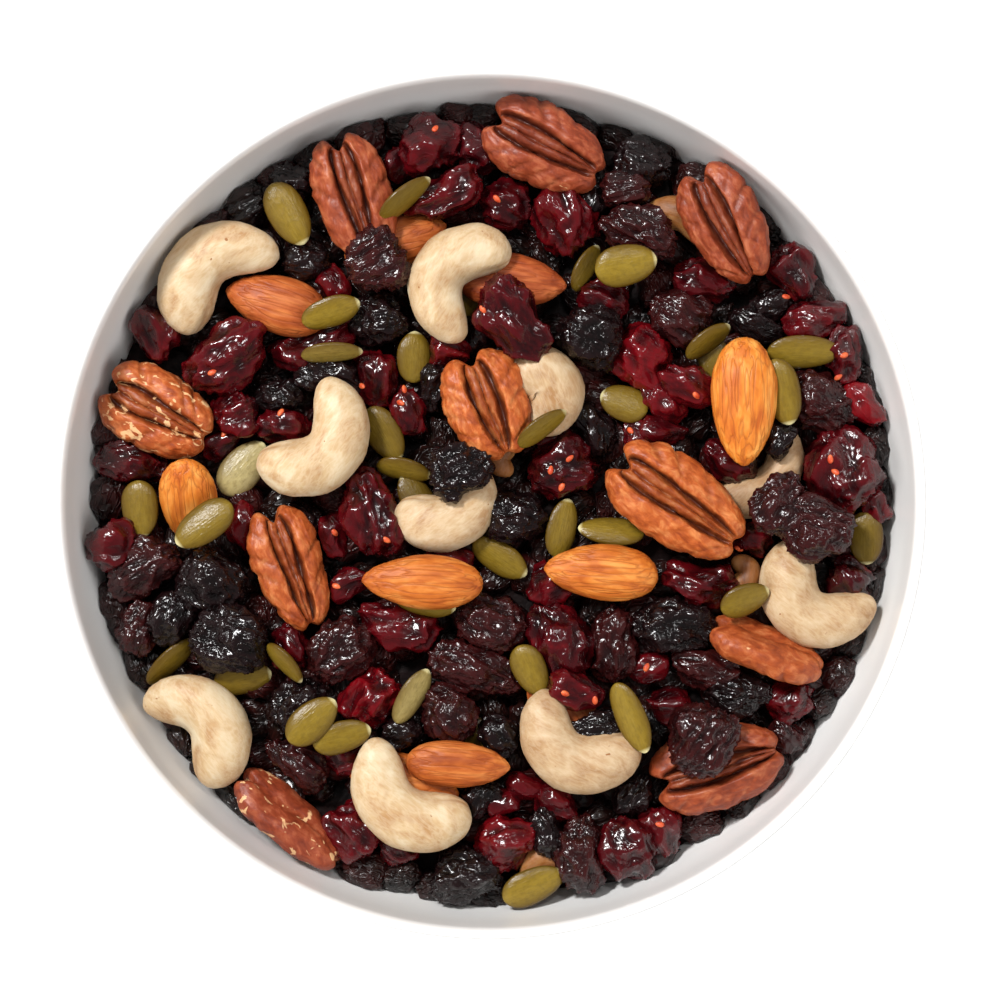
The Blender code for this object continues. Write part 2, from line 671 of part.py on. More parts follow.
def build_heap():
    """The trail mix as one solid: the core with every listed piece fused on."""
    heap = build_core()
    heap.name = heap.data.name = "trail_mix"
    group = bpy.data.collections.new("pieces")
    bpy.context.scene.collection.children.link(group)
    pieces = showing(listed_pieces())
    for piece, height in zip(pieces, settled_heights(pieces)):
        made = add_object("piece", placed(piece, height))
        bpy.context.scene.collection.objects.unlink(made)
        group.objects.link(made)
    union = heap.modifiers.new("fuse", "BOOLEAN")
    union.operation = "UNION"
    union.operand_type = "COLLECTION"
    union.collection = group
    union.solver = "EXACT"
    bpy.context.view_layer.update()
    fused = bpy.data.meshes.new_from_object(
        heap.evaluated_get(bpy.context.evaluated_depsgraph_get())
    )
    heap.modifiers.clear()
    heap.data = fused
    for made in list(group.objects):
        bpy.data.objects.remove(made)
    bpy.data.collections.remove(group)
    drop_scraps(heap)
    heap.data.materials.clear()
    heap.data.materials.append(material("mixed_nuts_and_fruit", (0.16, 0.06, 0.04), 0.5))
    return heap


def main():
    clear_scene()
    build_bowl()
    build_heap()


main()
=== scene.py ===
# A porcelain bowl of trail mix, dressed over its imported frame
import math
import bpy
import numpy as np
from mathutils import Euler, Matrix, Vector
from mathutils.bvhtree import BVHTree


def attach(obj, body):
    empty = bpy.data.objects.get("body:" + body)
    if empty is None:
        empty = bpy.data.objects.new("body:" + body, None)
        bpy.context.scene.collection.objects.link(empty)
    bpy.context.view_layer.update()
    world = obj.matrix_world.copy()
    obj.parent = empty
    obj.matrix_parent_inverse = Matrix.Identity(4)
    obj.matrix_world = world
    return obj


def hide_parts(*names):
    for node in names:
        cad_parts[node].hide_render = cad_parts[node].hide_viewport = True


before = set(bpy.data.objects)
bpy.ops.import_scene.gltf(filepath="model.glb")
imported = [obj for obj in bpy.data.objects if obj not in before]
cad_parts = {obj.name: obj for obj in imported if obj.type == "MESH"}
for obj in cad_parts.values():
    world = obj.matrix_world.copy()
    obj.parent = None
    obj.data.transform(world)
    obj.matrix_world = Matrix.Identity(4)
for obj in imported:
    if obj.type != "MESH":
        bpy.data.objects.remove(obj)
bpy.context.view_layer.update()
scene = bpy.context.scene
mm = 0.001

# The plan is the bowl seen from above, in units that run right and down from its top left corner
plan = {
    "centre": (490, 503),
    "rimUnits": 437,
    "rimRadius": 87 * mm,
    "rimHeight": 62 * mm,
    "eyeHeight": 600 * mm,
    "viewCentre": (500, 500),
    "viewWidth": 1000,
}
planUnit = plan["rimRadius"] / plan["rimUnits"]
# where the eye hangs above the bowl
eyeX = (plan["viewCentre"][0] - plan["centre"][0]) * planUnit
eyeY = -(plan["viewCentre"][1] - plan["centre"][1]) * planUnit

bowlSizes = {
    "curveCentre": 63 * mm,
    "curvePower": 2.7,
    "bellyBottom": 2.6 * mm,
    "floorThickness": 4.5 * mm,
    "rimThickness": 2.2 * mm,
    "footRadius": 36 * mm,
    "footWidth": 4.0 * mm,
    "footEdge": 0.7 * mm,
    "footFillet": 1.6 * mm,
    "lipEdge": 0.7 * mm,
    "lipDepth": 3.0 * mm,
    "lipSettle": 0.3 * mm,
    "segments": 160,
    # how many points draw each stretch of its outline
    "steps": {"under": 6, "footEdge": 5, "outside": 26, "lip": 9, "inside": 34},
}


# colours, and short names for the nodes used most

def rgb(red, green, blue):
    # 0 to 255 as seen on screen, turned into the renderer's linear values
    def linear(value):
        value = value / 255
        return value / 12.92 if value <= 0.04045 else ((value + 0.055) / 1.055) ** 2.4
    return (linear(red), linear(green), linear(blue), 1.0)


def newMaterial(name, sockets):
    # what is the same all over the surface is set on the shader's own sockets
    made = bpy.data.materials.new(name)
    made.use_nodes = True
    shader = made.node_tree.nodes["Principled BSDF"]
    for key, value in sockets.items():
        shader.inputs[key].default_value = value
    return made, made.node_tree, shader


def addNode(tree, kind, values=None, **settings):
    made = tree.nodes.new(kind)
    for key, value in settings.items():
        setattr(made, key, value)
    for key, value in (values or {}).items():
        if isinstance(value, bpy.types.NodeSocket):
            tree.links.new(value, made.inputs[key])
        else:
            made.inputs[key].default_value = value
    return made


def mathOf(tree, operation, first, second=None, clamp=False):
    values = {0: first} if second is None else {0: first, 1: second}
    return addNode(tree, "ShaderNodeMath", values, operation=operation, use_clamp=clamp).outputs[0]


def times(tree, first, second, clamp=False):
    return mathOf(tree, "MULTIPLY", first, second, clamp)


def minus(tree, first, second, clamp=False):
    return mathOf(tree, "SUBTRACT", first, second, clamp)


def above(tree, value, level, slope):
    # 0 up to a level, then rising to 1
    return times(tree, minus(tree, value, level), slope, clamp=True)


def vectorOf(tree, operation, first, second):
    second = {"Scale" if operation == "SCALE" else 1: second}
    return addNode(tree, "ShaderNodeVectorMath", {0: first, **second}, operation=operation).outputs[0]


def rampOf(tree, value, stops):
    made = addNode(tree, "ShaderNodeValToRGB", {"Fac": value})
    while len(made.color_ramp.elements) < len(stops):
        made.color_ramp.elements.new(0.5)
    for element, (place, colour) in zip(made.color_ramp.elements, stops):
        element.position = place
        element.color = colour
    return made.outputs["Color"]


def mixOf(tree, factor, first, second):
    return addNode(tree, "ShaderNodeMix", {0: factor, 6: first, 7: second}, data_type="RGBA").outputs[2]


def tonedRamp(tree, value, first, second):
    # two ramps, mixed by the piece's tone
    return mixOf(tree, pieceValue(tree, "tone"), rampOf(tree, value, first), rampOf(tree, value, second))


def pieceValue(tree, name):
    return addNode(tree, "ShaderNodeAttribute", attribute_name=name).outputs["Fac"]


def noiseOf(tree, place, scale, detail=3.0, roughness=0.5, swirl=0.0):
    values = {"Vector": place, "Scale": scale, "Detail": detail, "Roughness": roughness, "Distortion": swirl}
    return addNode(tree, "ShaderNodeTexNoise", values).outputs["Fac"]


def placeOf(tree):
    return addNode(tree, "ShaderNodeTexCoord").outputs["Object"]


def patternOf(tree, stretch, *values):
    # a noise that follows each piece: the place is in its own millimetres along, across and up
    place = addNode(tree, "ShaderNodeAttribute", attribute_name="own").outputs["Vector"]
    return noiseOf(tree, vectorOf(tree, "MULTIPLY", place, stretch), *values)


def ridgeOf(tree, value, sharpness):
    # thin crests where a noise passes its middle value
    away = mathOf(tree, "ABSOLUTE", minus(tree, value, 0.5))
    return minus(tree, 1.0, times(tree, away, sharpness), clamp=True)


def paint(tree, shader, colour):
    tree.links.new(colour, shader.inputs["Base Color"])


def emboss(tree, shader, height, strength, distance):
    made = addNode(tree, "ShaderNodeBump", {"Height": height, "Strength": strength, "Distance": distance})
    tree.links.new(made.outputs["Normal"], shader.inputs["Normal"])


# the bowl's wall, as the frame has it

def wallRadius(z, radius, bottom):
    depth = np.clip((bowlSizes["curveCentre"] - z) / (bowlSizes["curveCentre"] - bottom), 0, 1)
    return radius * np.maximum(0, 1 - depth ** bowlSizes["curvePower"]) ** (1 / bowlSizes["curvePower"])


def wallHeight(r, radius, bottom):
    share = np.maximum(0, 1 - (r / radius) ** bowlSizes["curvePower"]) ** (1 / bowlSizes["curvePower"])
    return bowlSizes["curveCentre"] - (bowlSizes["curveCentre"] - bottom) * share


innerBottom = bowlSizes["bellyBottom"] + bowlSizes["floorThickness"]
outerBottom = bowlSizes["bellyBottom"]
outerWall = (plan["rimRadius"] / wallRadius(plan["rimHeight"], 1.0, outerBottom), outerBottom)
innerRim = plan["rimRadius"] - bowlSizes["rimThickness"]
innerWall = (innerRim / wallRadius(plan["rimHeight"], 1.0, innerBottom), innerBottom)


def wallProfile(start, radius, bottom, rings, lipDepth):
    power = bowlSizes["curvePower"]
    lipStart = plan["rimHeight"] - lipDepth - bowlSizes["lipSettle"]
    first = math.asin((start / radius) ** (power / 2))
    last = math.acos(((bowlSizes["curveCentre"] - lipStart) / (bowlSizes["curveCentre"] - bottom)) ** (power / 2))
    radii = radius * np.sin(np.linspace(first, last, rings)) ** (2 / power)
    return [(r, float(wallHeight(r, radius, bottom))) for r in radii]


def bowlProfile():
    foot, width = bowlSizes["footRadius"], bowlSizes["footWidth"]
    edge, fillet = bowlSizes["footEdge"], bowlSizes["footFillet"]
    steps = bowlSizes["steps"]
    inside = foot - width
    points = [(r, float(wallHeight(r, *outerWall))) for r in np.linspace(0, inside - fillet, steps["under"])]
    root = float(wallHeight(inside, *outerWall)) - fillet
    quarter = np.linspace(0, math.pi / 2, steps["footEdge"])
    points += [(inside - fillet + fillet * math.sin(a), root + fillet * math.cos(a)) for a in quarter[1:]]
    points += [(inside + edge - edge * math.cos(a), edge - edge * math.sin(a)) for a in quarter]
    points += [(foot - edge + edge * math.sin(a), edge - edge * math.cos(a)) for a in quarter]
    points += [(foot, float(wallHeight(foot, *outerWall)) - fillet)]
    lip, depth = bowlSizes["lipEdge"], bowlSizes["lipDepth"]
    points += wallProfile(foot + fillet, *outerWall, steps["outside"], lip)
    crown, top = plan["rimRadius"] - lip, plan["rimHeight"]
    turns = np.linspace(0, math.pi / 2, steps["lip"])
    points += [(crown + lip * math.cos(a), top - lip + lip * math.sin(a)) for a in turns]
    inward = bowlSizes["rimThickness"] - lip
    points += [(crown - inward * math.sin(a), top - depth + depth * math.cos(a)) for a in turns[1:]]
    return points + wallProfile(0.0, *innerWall, steps["inside"], depth)[::-1]


# closed skins of rings and sides, kept as number arrays

def gridFaces(rings, sides):
    ring = np.arange(rings - 1)[:, None] * sides
    k = np.arange(sides)[None, :]
    n = (k + 1) % sides
    quads = np.stack([ring + k, ring + n, ring + sides + n, ring + sides + k], axis=-1).reshape(-1, 4)
    firstPole, lastPole = rings * sides, rings * sides + 1
    one = np.arange(sides)
    two = (one + 1) % sides
    end = (rings - 1) * sides
    caps = np.concatenate([
        np.stack([np.full(sides, firstPole), two, one], axis=-1),
        np.stack([np.full(sides, lastPole), end + one, end + two], axis=-1),
    ])
    return quads, caps


def closedSkin(rings, sides, shape, turns=None):
    # shape(u, turn) gives points for u from -1 to 1 along the piece and turn once round it;
    # the rings crowd towards both ends, where the skin curves most
    u = -np.cos(np.pi * (np.arange(rings) + 0.6) / (rings + 0.2))[:, None]
    turn = (2 * np.pi * np.arange(sides) / sides if turns is None else turns)[None, :]
    points, values = shape(*np.broadcast_arrays(u, turn))
    ends = [shape(np.array([[side]]), np.array([[0.0]])) for side in (-1.0, 1.0)]
    points = np.concatenate([points.reshape(-1, 3)] + [end[0].reshape(-1, 3) for end in ends])
    values = {
        key: np.concatenate([value.reshape(-1)] + [np.broadcast_to(end[1][key], (1, 1)).reshape(-1) for end in ends])
        for key, value in values.items()
    }
    quads, caps = gridFaces(rings, sides)
    return {"points": points, "quads": quads, "caps": caps, "values": values}


def turnMatrix(turn, pitch=0.0, roll=0.0):
    pose = Matrix.Rotation(math.radians(turn), 3, "Z") @ Matrix.Rotation(math.radians(pitch), 3, "Y")
    return np.array(pose @ Matrix.Rotation(math.radians(roll), 3, "X"))


def joinedMesh(name, skins):
    # one mesh of many skins, with each point's own place and values kept as attributes
    def joined(values, kind):
        return np.concatenate(values).astype(kind).ravel()

    starts = np.cumsum([0] + [len(skin["points"]) for skin in skins[:-1]])
    quads, caps = ([skin[key] + start for skin, start in zip(skins, starts)] for key in ("quads", "caps"))
    quads, caps = joined(quads, np.int32), joined(caps, np.int32)
    mesh = bpy.data.meshes.new(name)
    mesh.vertices.add(starts[-1] + len(skins[-1]["points"]))
    mesh.vertices.foreach_set("co", joined([skin["points"] for skin in skins], np.float32))
    mesh.loops.add(len(quads) + len(caps))
    mesh.loops.foreach_set("vertex_index", joined([quads, caps], np.int32))
    mesh.polygons.add(len(quads) // 4 + len(caps) // 3)
    loopStarts = joined([np.arange(0, len(quads), 4), len(quads) + np.arange(0, len(caps), 3)], np.int32)
    mesh.polygons.foreach_set("loop_start", loopStarts)
    mesh.update(calc_edges=True)
    mesh.validate()
    own = mesh.attributes.new("own", "FLOAT_VECTOR", "POINT")
    own.data.foreach_set("vector", joined([skin["own"] for skin in skins], np.float32))
    for key in skins[0]["values"]:
        made = mesh.attributes.new(key, "FLOAT", "POINT")
        made.data.foreach_set("value", joined([skin["values"][key] for skin in skins], np.float32))
    piece = bpy.data.objects.new(name, mesh)
    scene.collection.objects.link(piece)
    return piece


# geometry node trees

def treeWith(name, sizes):
    tree = bpy.data.node_groups.new(name, "GeometryNodeTree")
    tree.interface.new_socket("Geometry", in_out="INPUT", socket_type="NodeSocketGeometry")
    for label, kind in sizes:
        tree.interface.new_socket(label, in_out="INPUT", socket_type=kind)
    tree.interface.new_socket("Geometry", in_out="OUTPUT", socket_type="NodeSocketGeometry")
    return tree, tree.nodes.new("NodeGroupInput"), tree.nodes.new("NodeGroupOutput")


def finishTree(tree, geometry, leave, material):
    realized = addNode(tree, "GeometryNodeRealizeInstances", {"Geometry": geometry}).outputs[0]
    smooth = addNode(tree, "GeometryNodeSetShadeSmooth", {"Geometry": realized}).outputs[0]
    painted = addNode(tree, "GeometryNodeSetMaterial", {"Geometry": smooth, "Material": material}).outputs[0]
    tree.links.new(painted, leave.inputs[0])


def runTree(piece, tree, sizes):
    # runs the tree on the piece, and leaves a plain mesh
    modifier = piece.modifiers.new(tree.name, "NODES")
    modifier.node_group = tree
    for item in tree.interface.items_tree:
        if item.in_out == "INPUT" and item.name in sizes:
            modifier[item.identifier] = sizes[item.name]
    bpy.context.view_layer.update()
    graph = bpy.context.evaluated_depsgraph_get()
    made = bpy.data.meshes.new_from_object(piece.evaluated_get(graph), depsgraph=graph)
    piece.modifiers.clear()
    old = piece.data
    piece.data = made
    made.name = piece.name
    bpy.data.meshes.remove(old)
    return piece


# how the crests of a folded skin are bent, drawn and weighed
foldRule = {
    "bendFrequency": 0.6, "roughness": 0.4, "crestPower": 2.5, "level": 0.28,
    "foldSwirl": 1.6, "fineSwirl": 1.2, "lumpGain": 3.0, "foldShare": 0.65,
}


def readOf(tree, name, kind):
    return addNode(tree, "GeometryNodeInputNamedAttribute", {"Name": name}, data_type=kind).outputs[0]


def foldedSkinTree():
    # pushes a skin out along crests that run mostly lengthwise, in two sizes
    rule = foldRule
    sizes = [f"{part} {what}" for part in ("Lump", "Fold", "Fine") for what in ("Depth", "Size")]
    inputs = [(size, "NodeSocketFloat") for size in sizes + ["Lengthwise", "Sharpness"]]
    tree, enter, leave = treeWith("foldedSkin", inputs + [("Material", "NodeSocketMaterial")])
    entered = enter.outputs
    own = readOf(tree, "own", "FLOAT_VECTOR")
    reach = readOf(tree, "reach", "FLOAT")
    shorter = mathOf(tree, "DIVIDE", 1.0, entered["Lengthwise"])
    squeeze = addNode(tree, "ShaderNodeCombineXYZ", {"X": shorter, "Y": 1.0, "Z": 1.0}).outputs[0]
    along = vectorOf(tree, "MULTIPLY", own, squeeze)

    def crests(part, swirl):
        size = entered[part + " Size"]
        frequency = mathOf(tree, "DIVIDE", 1.0, size)
        values = {"Vector": along, "Scale": times(tree, frequency, rule["bendFrequency"]), "Detail": 1.0}
        bend = addNode(tree, "ShaderNodeTexNoise", values).outputs["Color"]
        push = vectorOf(tree, "SUBTRACT", bend, (0.5, 0.5, 0.5))
        place = vectorOf(tree, "ADD", along, vectorOf(tree, "SCALE", push, times(tree, size, swirl)))
        ridge = ridgeOf(tree, noiseOf(tree, place, frequency, 1.0, rule["roughness"]), entered["Sharpness"])
        ridge = mathOf(tree, "POWER", ridge, rule["crestPower"])
        return ridge, times(tree, minus(tree, ridge, rule["level"]), entered[part + " Depth"])

    coarse, coarseDepth = crests("Fold", rule["foldSwirl"])
    fine, fineDepth = crests("Fine", rule["fineSwirl"])
    lump = noiseOf(tree, own, mathOf(tree, "DIVIDE", 1.0, entered["Lump Size"]), 0.0)
    lumpDepth = times(tree, minus(tree, lump, 0.5), times(tree, entered["Lump Depth"], rule["lumpGain"]))
    depth = mathOf(tree, "ADD", mathOf(tree, "ADD", coarseDepth, fineDepth), lumpDepth)
    normal = tree.nodes.new("GeometryNodeInputNormal").outputs[0]
    offset = vectorOf(tree, "SCALE", normal, times(tree, depth, reach))
    moved = addNode(tree, "GeometryNodeSetPosition", {"Geometry": entered["Geometry"], "Offset": offset}).outputs[0]
    shade = mathOf(tree, "ADD", times(tree, coarse, rule["foldShare"]), times(tree, fine, 1 - rule["foldShare"]))
    values = {"Geometry": moved, "Name": "fold", "Value": shade}
    stored = addNode(tree, "GeometryNodeStoreNamedAttribute", values, data_type="FLOAT", domain="POINT").outputs[0]
    finishTree(tree, stored, leave, entered["Material"])
    return tree


def scatterTree():
    # puts one of the shapes in a collection on each point, turned, sized and toned as the point says
    tree, enter, leave = treeWith("scatter", [("Shapes", "NodeSocketCollection"), ("Material", "NodeSocketMaterial")])
    values = {"Collection": enter.outputs["Shapes"], "Separate Children": True, "Reset Children": True}
    shapes = addNode(tree, "GeometryNodeCollectionInfo", values).outputs[0]
    turn = addNode(tree, "FunctionNodeEulerToRotation", {0: readOf(tree, "turn", "FLOAT_VECTOR")}).outputs[0]
    placed = addNode(tree, "GeometryNodeInstanceOnPoints", {
        "Points": enter.outputs["Geometry"], "Instance": shapes, "Pick Instance": True,
        "Instance Index": readOf(tree, "pick", "INT"), "Rotation": turn,
        "Scale": readOf(tree, "size", "FLOAT_VECTOR"),
    }).outputs[0]
    finishTree(tree, placed, leave, enter.outputs["Material"])
    return tree


foldedSkin = foldedSkinTree()
scatter = scatterTree()

# where each piece comes to rest: heights from the table, and how close the pieces lie
heapLook = {
    "restLevel": 39.5 * mm, "top": 55.6 * mm, "wallGap": 0.5 * mm, "skinGap": 0.25 * mm,
    "cell": 1.0 * mm, "seed": 5, "skinRise": 0.35 * mm, "footprint": 0.9,
    "standing": 40,  # past this roll a piece stands on edge
    # how much of a piece's underside has met what lies there once it rests
    "nestle": {"cashew": 0.86, "almond": 0.86, "pecan": 0.82, "seed": 0.97,
               "cranberry": 0.74, "black": 0.74, "brown": 0.76},
    # pieces from the top layer up lie higher, and soft ones among them are flatter
    "nestleStanding": 0.72, "topLayer": 3, "nestleTop": 0.985, "topFlatness": 0.78,
    "raisinTone": 0.5, "patternSeed": 1000, "patternSpread": 500, "wallSteps": 3,
}
softKinds = ("cranberry", "black", "brown")


def listPieces():
    pieces = []
    for kind, look in (("cashew", cashewLook), ("almond", almondLook), ("pecan", pecanLook), ("seed", seedLook),
                       ("cranberry", cranberryLook), ("raisin", raisinLook)):
        for row in look["rows"]:
            piece = {"kind": kind, "tone": heapLook["raisinTone"], "pitch": 0, "roll": 0}
            piece.update(zip(look["columns"].split(), row))
            if kind == "cashew":
                piece["turn"] -= 90  # from its back to its length
            thickness = look["thickness"] * piece.get("body", piece["width"])
            if piece["kind"] in softKinds and piece["layer"] >= heapLook["topLayer"]:
                thickness *= heapLook["topFlatness"]
            piece["size"] = tuple(side * mm for side in (piece["length"], piece["width"], thickness))
            pieces.append(piece)
    # within a layer the flat seeds come last, so that they lie on the fruit and not in it
    return sorted(pieces, key=lambda piece: (piece["layer"], piece["kind"] == "seed"))


def halfReach(piece):
    length, width, thickness = (side / 2 for side in piece["size"])
    pitch, roll = math.radians(piece["pitch"]), math.radians(piece["roll"])
    along = math.hypot(length * math.cos(pitch), thickness * math.sin(pitch))
    across = math.hypot(width * math.cos(roll), thickness * math.sin(roll))
    sideUp = math.hypot(width * math.sin(roll), thickness * math.cos(roll))
    return along, across, math.hypot(length * math.sin(pitch), sideUp * math.cos(pitch))


def planOffset(piece):
    # from the bowl's axis, at the height of the rim
    return (piece["x"] - plan["centre"][0]) * planUnit, -(piece["y"] - plan["centre"][1]) * planUnit


def cashewCap(piece, gridX, gridY):
    # the crescent's own upper side on the grid, because its box is mostly empty
    points = cashewSkin(piece)["points"] @ turnMatrix(piece["turn"]).T
    x, y = planOffset(piece)
    column = np.rint((points[:, 0] + x - gridX[0, 0]) / heapLook["cell"]).astype(int)
    row = np.rint((points[:, 1] + y - gridY[0, 0]) / heapLook["cell"]).astype(int)
    cap = np.full(gridX.shape, -1.0)
    inside = (column >= 0) & (row >= 0) & (column < gridX.shape[1]) & (row < gridX.shape[0])
    np.maximum.at(cap, (row[inside], column[inside]), points[inside, 2])
    return cap


def settle(pieces, deepRows):
    # a level field rises as the pieces come down on it, the deepest first
    reach = np.arange(-plan["rimRadius"], plan["rimRadius"], heapLook["cell"])
    gridX, gridY = np.meshgrid(reach, reach)
    field = np.full(gridX.shape, heapLook["restLevel"])
    for row in deepRows:
        x, y, z = row["place"]
        away = ((gridX - x) ** 2 + (gridY - y) ** 2) / deepLook["half"] ** 2
        field = np.maximum(field, np.where(away < 1, z + deepLook["up"] * np.sqrt(np.maximum(0, 1 - away)), 0))
    for piece in pieces:
        along, across, up = halfReach(piece)
        turn = math.radians(piece["turn"])
        x, y = planOffset(piece)
        offX, offY = gridX - x, gridY - y
        u = (offX * math.cos(turn) + offY * math.sin(turn)) / along
        v = (offY * math.cos(turn) - offX * math.sin(turn)) / across
        if piece["kind"] == "cashew":
            cap = cashewCap(piece, gridX, gridY)
            under = cap > 0
            cap = cap[under]
        else:
            under = u ** 2 + v ** 2 < heapLook["footprint"]
            cap = up * np.sqrt(1 - (u ** 2 + v ** 2)[under])
        nestle = heapLook["nestle"][piece["kind"]]
        if piece["layer"] >= heapLook["topLayer"]:
            nestle = max(nestle, heapLook["nestleTop"])
        if abs(piece["roll"]) > heapLook["standing"]:
            nestle = heapLook["nestleStanding"]
        height = min(float(np.quantile(field[under] + cap, nestle)), heapLook["top"] - up)
        rise = heapLook["skinRise"] if piece["kind"] in softKinds else 0
        field[under] = np.maximum(field[under], height + cap + rise)
        piece["z"] = height


def fromPlan(x, y, z):
    # where a plan point lies at height z, seen from the eye
    unit = planUnit * (1 + (plan["rimHeight"] - z) / plan["eyeHeight"])
    return eyeX + (x - plan["viewCentre"][0]) * unit, eyeY - (y - plan["viewCentre"][1]) * unit


def layDown(skin, piece, number):
    # turns a skin and moves it to its place, clear of the bowl's wall
    spread = heapLook["patternSpread"]
    shift = np.random.default_rng(heapLook["patternSeed"] + number).uniform(-spread, spread, 3)
    skin["own"] = skin["points"] / mm + shift
    count = len(skin["points"])
    skin["values"]["tone"] = np.full(count, piece["tone"])
    x, y = fromPlan(piece["x"], piece["y"], piece["z"])
    pose = turnMatrix(piece["turn"], piece["pitch"], piece["roll"])
    points = skin["points"] @ pose.T + np.array([x, y, piece["z"]])
    outward = np.array([x, y, 0]) / math.hypot(x, y)
    gap = heapLook["wallGap"]
    for _ in range(heapLook["wallSteps"]):
        room = wallRadius(points[:, 2], innerWall[0] - gap, innerWall[1] + gap)
        points = points - outward * max(0.0, (np.hypot(points[:, 0], points[:, 1]) - room).max())
    points[:, 2] -= max(0.0, points[:, 2].max() - heapLook["top"])
    skin["points"] = points
    return skin


# the shapes

def tapered(u, ends):
    # 0 at both ends and 1 where it is widest; the smaller an end's power, the blunter it is
    s = (u + 1) / 2
    widest = ends[0] / (ends[0] + ends[1])
    peak = widest ** ends[0] * (1 - widest) ** ends[1]
    return np.maximum(s, 0) ** ends[0] * np.maximum(1 - s, 0) ** ends[1] / peak


def hollow(away, width):
    # a soft round-bottomed furrow, 1 at its middle
    return np.exp(-((away / width) ** 2))


# What lies in the bowl, row by row. Columns: layer (0 is the deepest), x and y of its centre on the
# plan, length and width in millimetres, turn of its tip in degrees anticlockwise from the right.

cashewLook = {
    "rings": 54, "sides": 40, "thickness": 0.86, "swell": 0.10, "crook": 1.6, "ends": 2.8, "pathSteps": 161,
    "lumpDepth": 0.30 * mm, "lumpSize": 7.0,
    "foldDepth": 0.16 * mm, "foldSize": 4.0, "fineDepth": 0.07 * mm, "fineSize": 1.8,
    "cleft": {"turn": 2.5, "width": 0.13, "depth": 0.55 * mm, "slope": 2.2, "start": 0.9},
    # the bend that gives a row's width is searched for between two bends, on a coarse nut
    "bends": (0.1, 4.0), "trials": 18, "trialRings": 41, "trialSides": 16, "endShare": 0.5, "leastReach": 0.2,
    # body is how thick the nut is seen from above, turn is that of its back, wideEnd the side of its
    # thicker end, and tone 0 is pale and 1 tan
    "columns": "layer x y length width body turn wideEnd tone",
    "rows": [
        (2, 209, 268, 27.6, 16.8, 12.6, 130, -1, 0.15),
        (3, 452, 276, 25.8, 17.0, 11.6, 150, 1, 0.10),
        (3, 322, 446, 26.6, 17.2, 12.2, -39, 1, 0.05),
        (2, 451, 513, 22.6, 15.0, 11.6, -57, 1, 0.25),
        (3, 573, 750, 26.2, 17.0, 12.4, -120, -1, 0.35),
        (3, 402, 805, 27.6, 16.6, 12.6, -129, -1, 0.05),
        (2, 206, 723, 25.6, 16.4, 12.0, 39, 1, 0.05),
        (2, 809, 601, 25.6, 17.4, 11.6, -129, 1, 0.25),
        (1, 546, 388, 19.6, 14.8, 12.4, 25, -1, 0.30),
        # the deep-lying nuts in the next four rows take the darker tans: partly their roast, partly painted shade
        (0, 681, 219, 17.0, 9.6, 7.6, 75, 1, 1.0),
        (0, 766, 481, 22.0, 12.0, 9.0, -48, 1, 0.55),
        (0, 746, 574, 8.4, 6.2, 5.0, 0, 1, 1.0),
        (0, 545, 862, 12.0, 8.0, 6.4, 110, 1, 1.0),
        (2, 501, 458, 7.8, 5.4, 4.4, 175, 1, 1.0),
    ],
}


def cashewPath(bend):
    steps = np.linspace(-1, 1, cashewLook["pathSteps"])
    crook = cashewLook["crook"]
    angle = -bend / 2 * np.tanh(crook * steps) / math.tanh(crook)
    middle = (angle[1:] + angle[:-1]) / 2
    x = np.concatenate([[0], np.cumsum(np.cos(middle))]) / (len(steps) - 1)
    y = np.concatenate([[0], np.cumsum(np.sin(middle))]) / (len(steps) - 1)
    return steps, angle, x, y


def cashewPoints(u, turn, length, body, bend, wideEnd, thickness):
    steps, angle, pathX, pathY = cashewPath(bend)
    heading = np.interp(u, steps, angle)
    around = np.maximum(0, 1 - np.abs(u) ** cashewLook["ends"]) ** 0.5 * (1 + cashewLook["swell"] * u * wideEnd)
    out = body / 2 * around * np.cos(turn)
    up = thickness / 2 * around * np.sin(turn)
    x = length * np.interp(u, steps, pathX) - out * np.sin(heading)
    y = length * np.interp(u, steps, pathY) + out * np.cos(heading)
    return np.stack([x, y, up], axis=-1)


def cashewSkin(piece):
    look = cashewLook
    length, width, thickness = piece["size"]
    body = piece["body"] * mm
    ends = body * look["endShare"]
    u = -np.cos(np.linspace(0, math.pi, look["trialRings"]))
    u, turn = np.meshgrid(u, np.linspace(0, 2 * math.pi, look["trialSides"]), indexing="ij")
    low, high = look["bends"]
    for _ in range(look["trials"]):
        bend = (low + high) / 2
        trial = cashewPoints(u, turn, length, body, bend, piece["wideEnd"], thickness)
        reach = np.ptp(trial.reshape(-1, 3), axis=0)
        grown = length * (length - ends) / max(reach[0] - ends, body * look["leastReach"])
        trial = cashewPoints(u, turn, grown, body, bend, piece["wideEnd"], thickness)
        reach = np.ptp(trial.reshape(-1, 3), axis=0)
        low, high = (bend, high) if reach[1] < width else (low, bend)
    flat = trial.reshape(-1, 3)
    middle = (flat.min(axis=0) + flat.max(axis=0)) / 2

    def shape(u, turn):
        # the two halves part a little at the wide end, on the notch's side
        cleft = look["cleft"]
        line = hollow(turn - cleft["turn"], cleft["width"])
        line = line * np.clip(u * piece["wideEnd"] * cleft["slope"] - cleft["start"], 0, 1)
        sunk = body - 2 * cleft["depth"] * line
        points = cashewPoints(u, turn, grown, sunk, bend, piece["wideEnd"], thickness * sunk / body) - middle
        return points, {"groove": line, "reach": np.ones_like(u)}

    return closedSkin(look["rings"], look["sides"], shape)


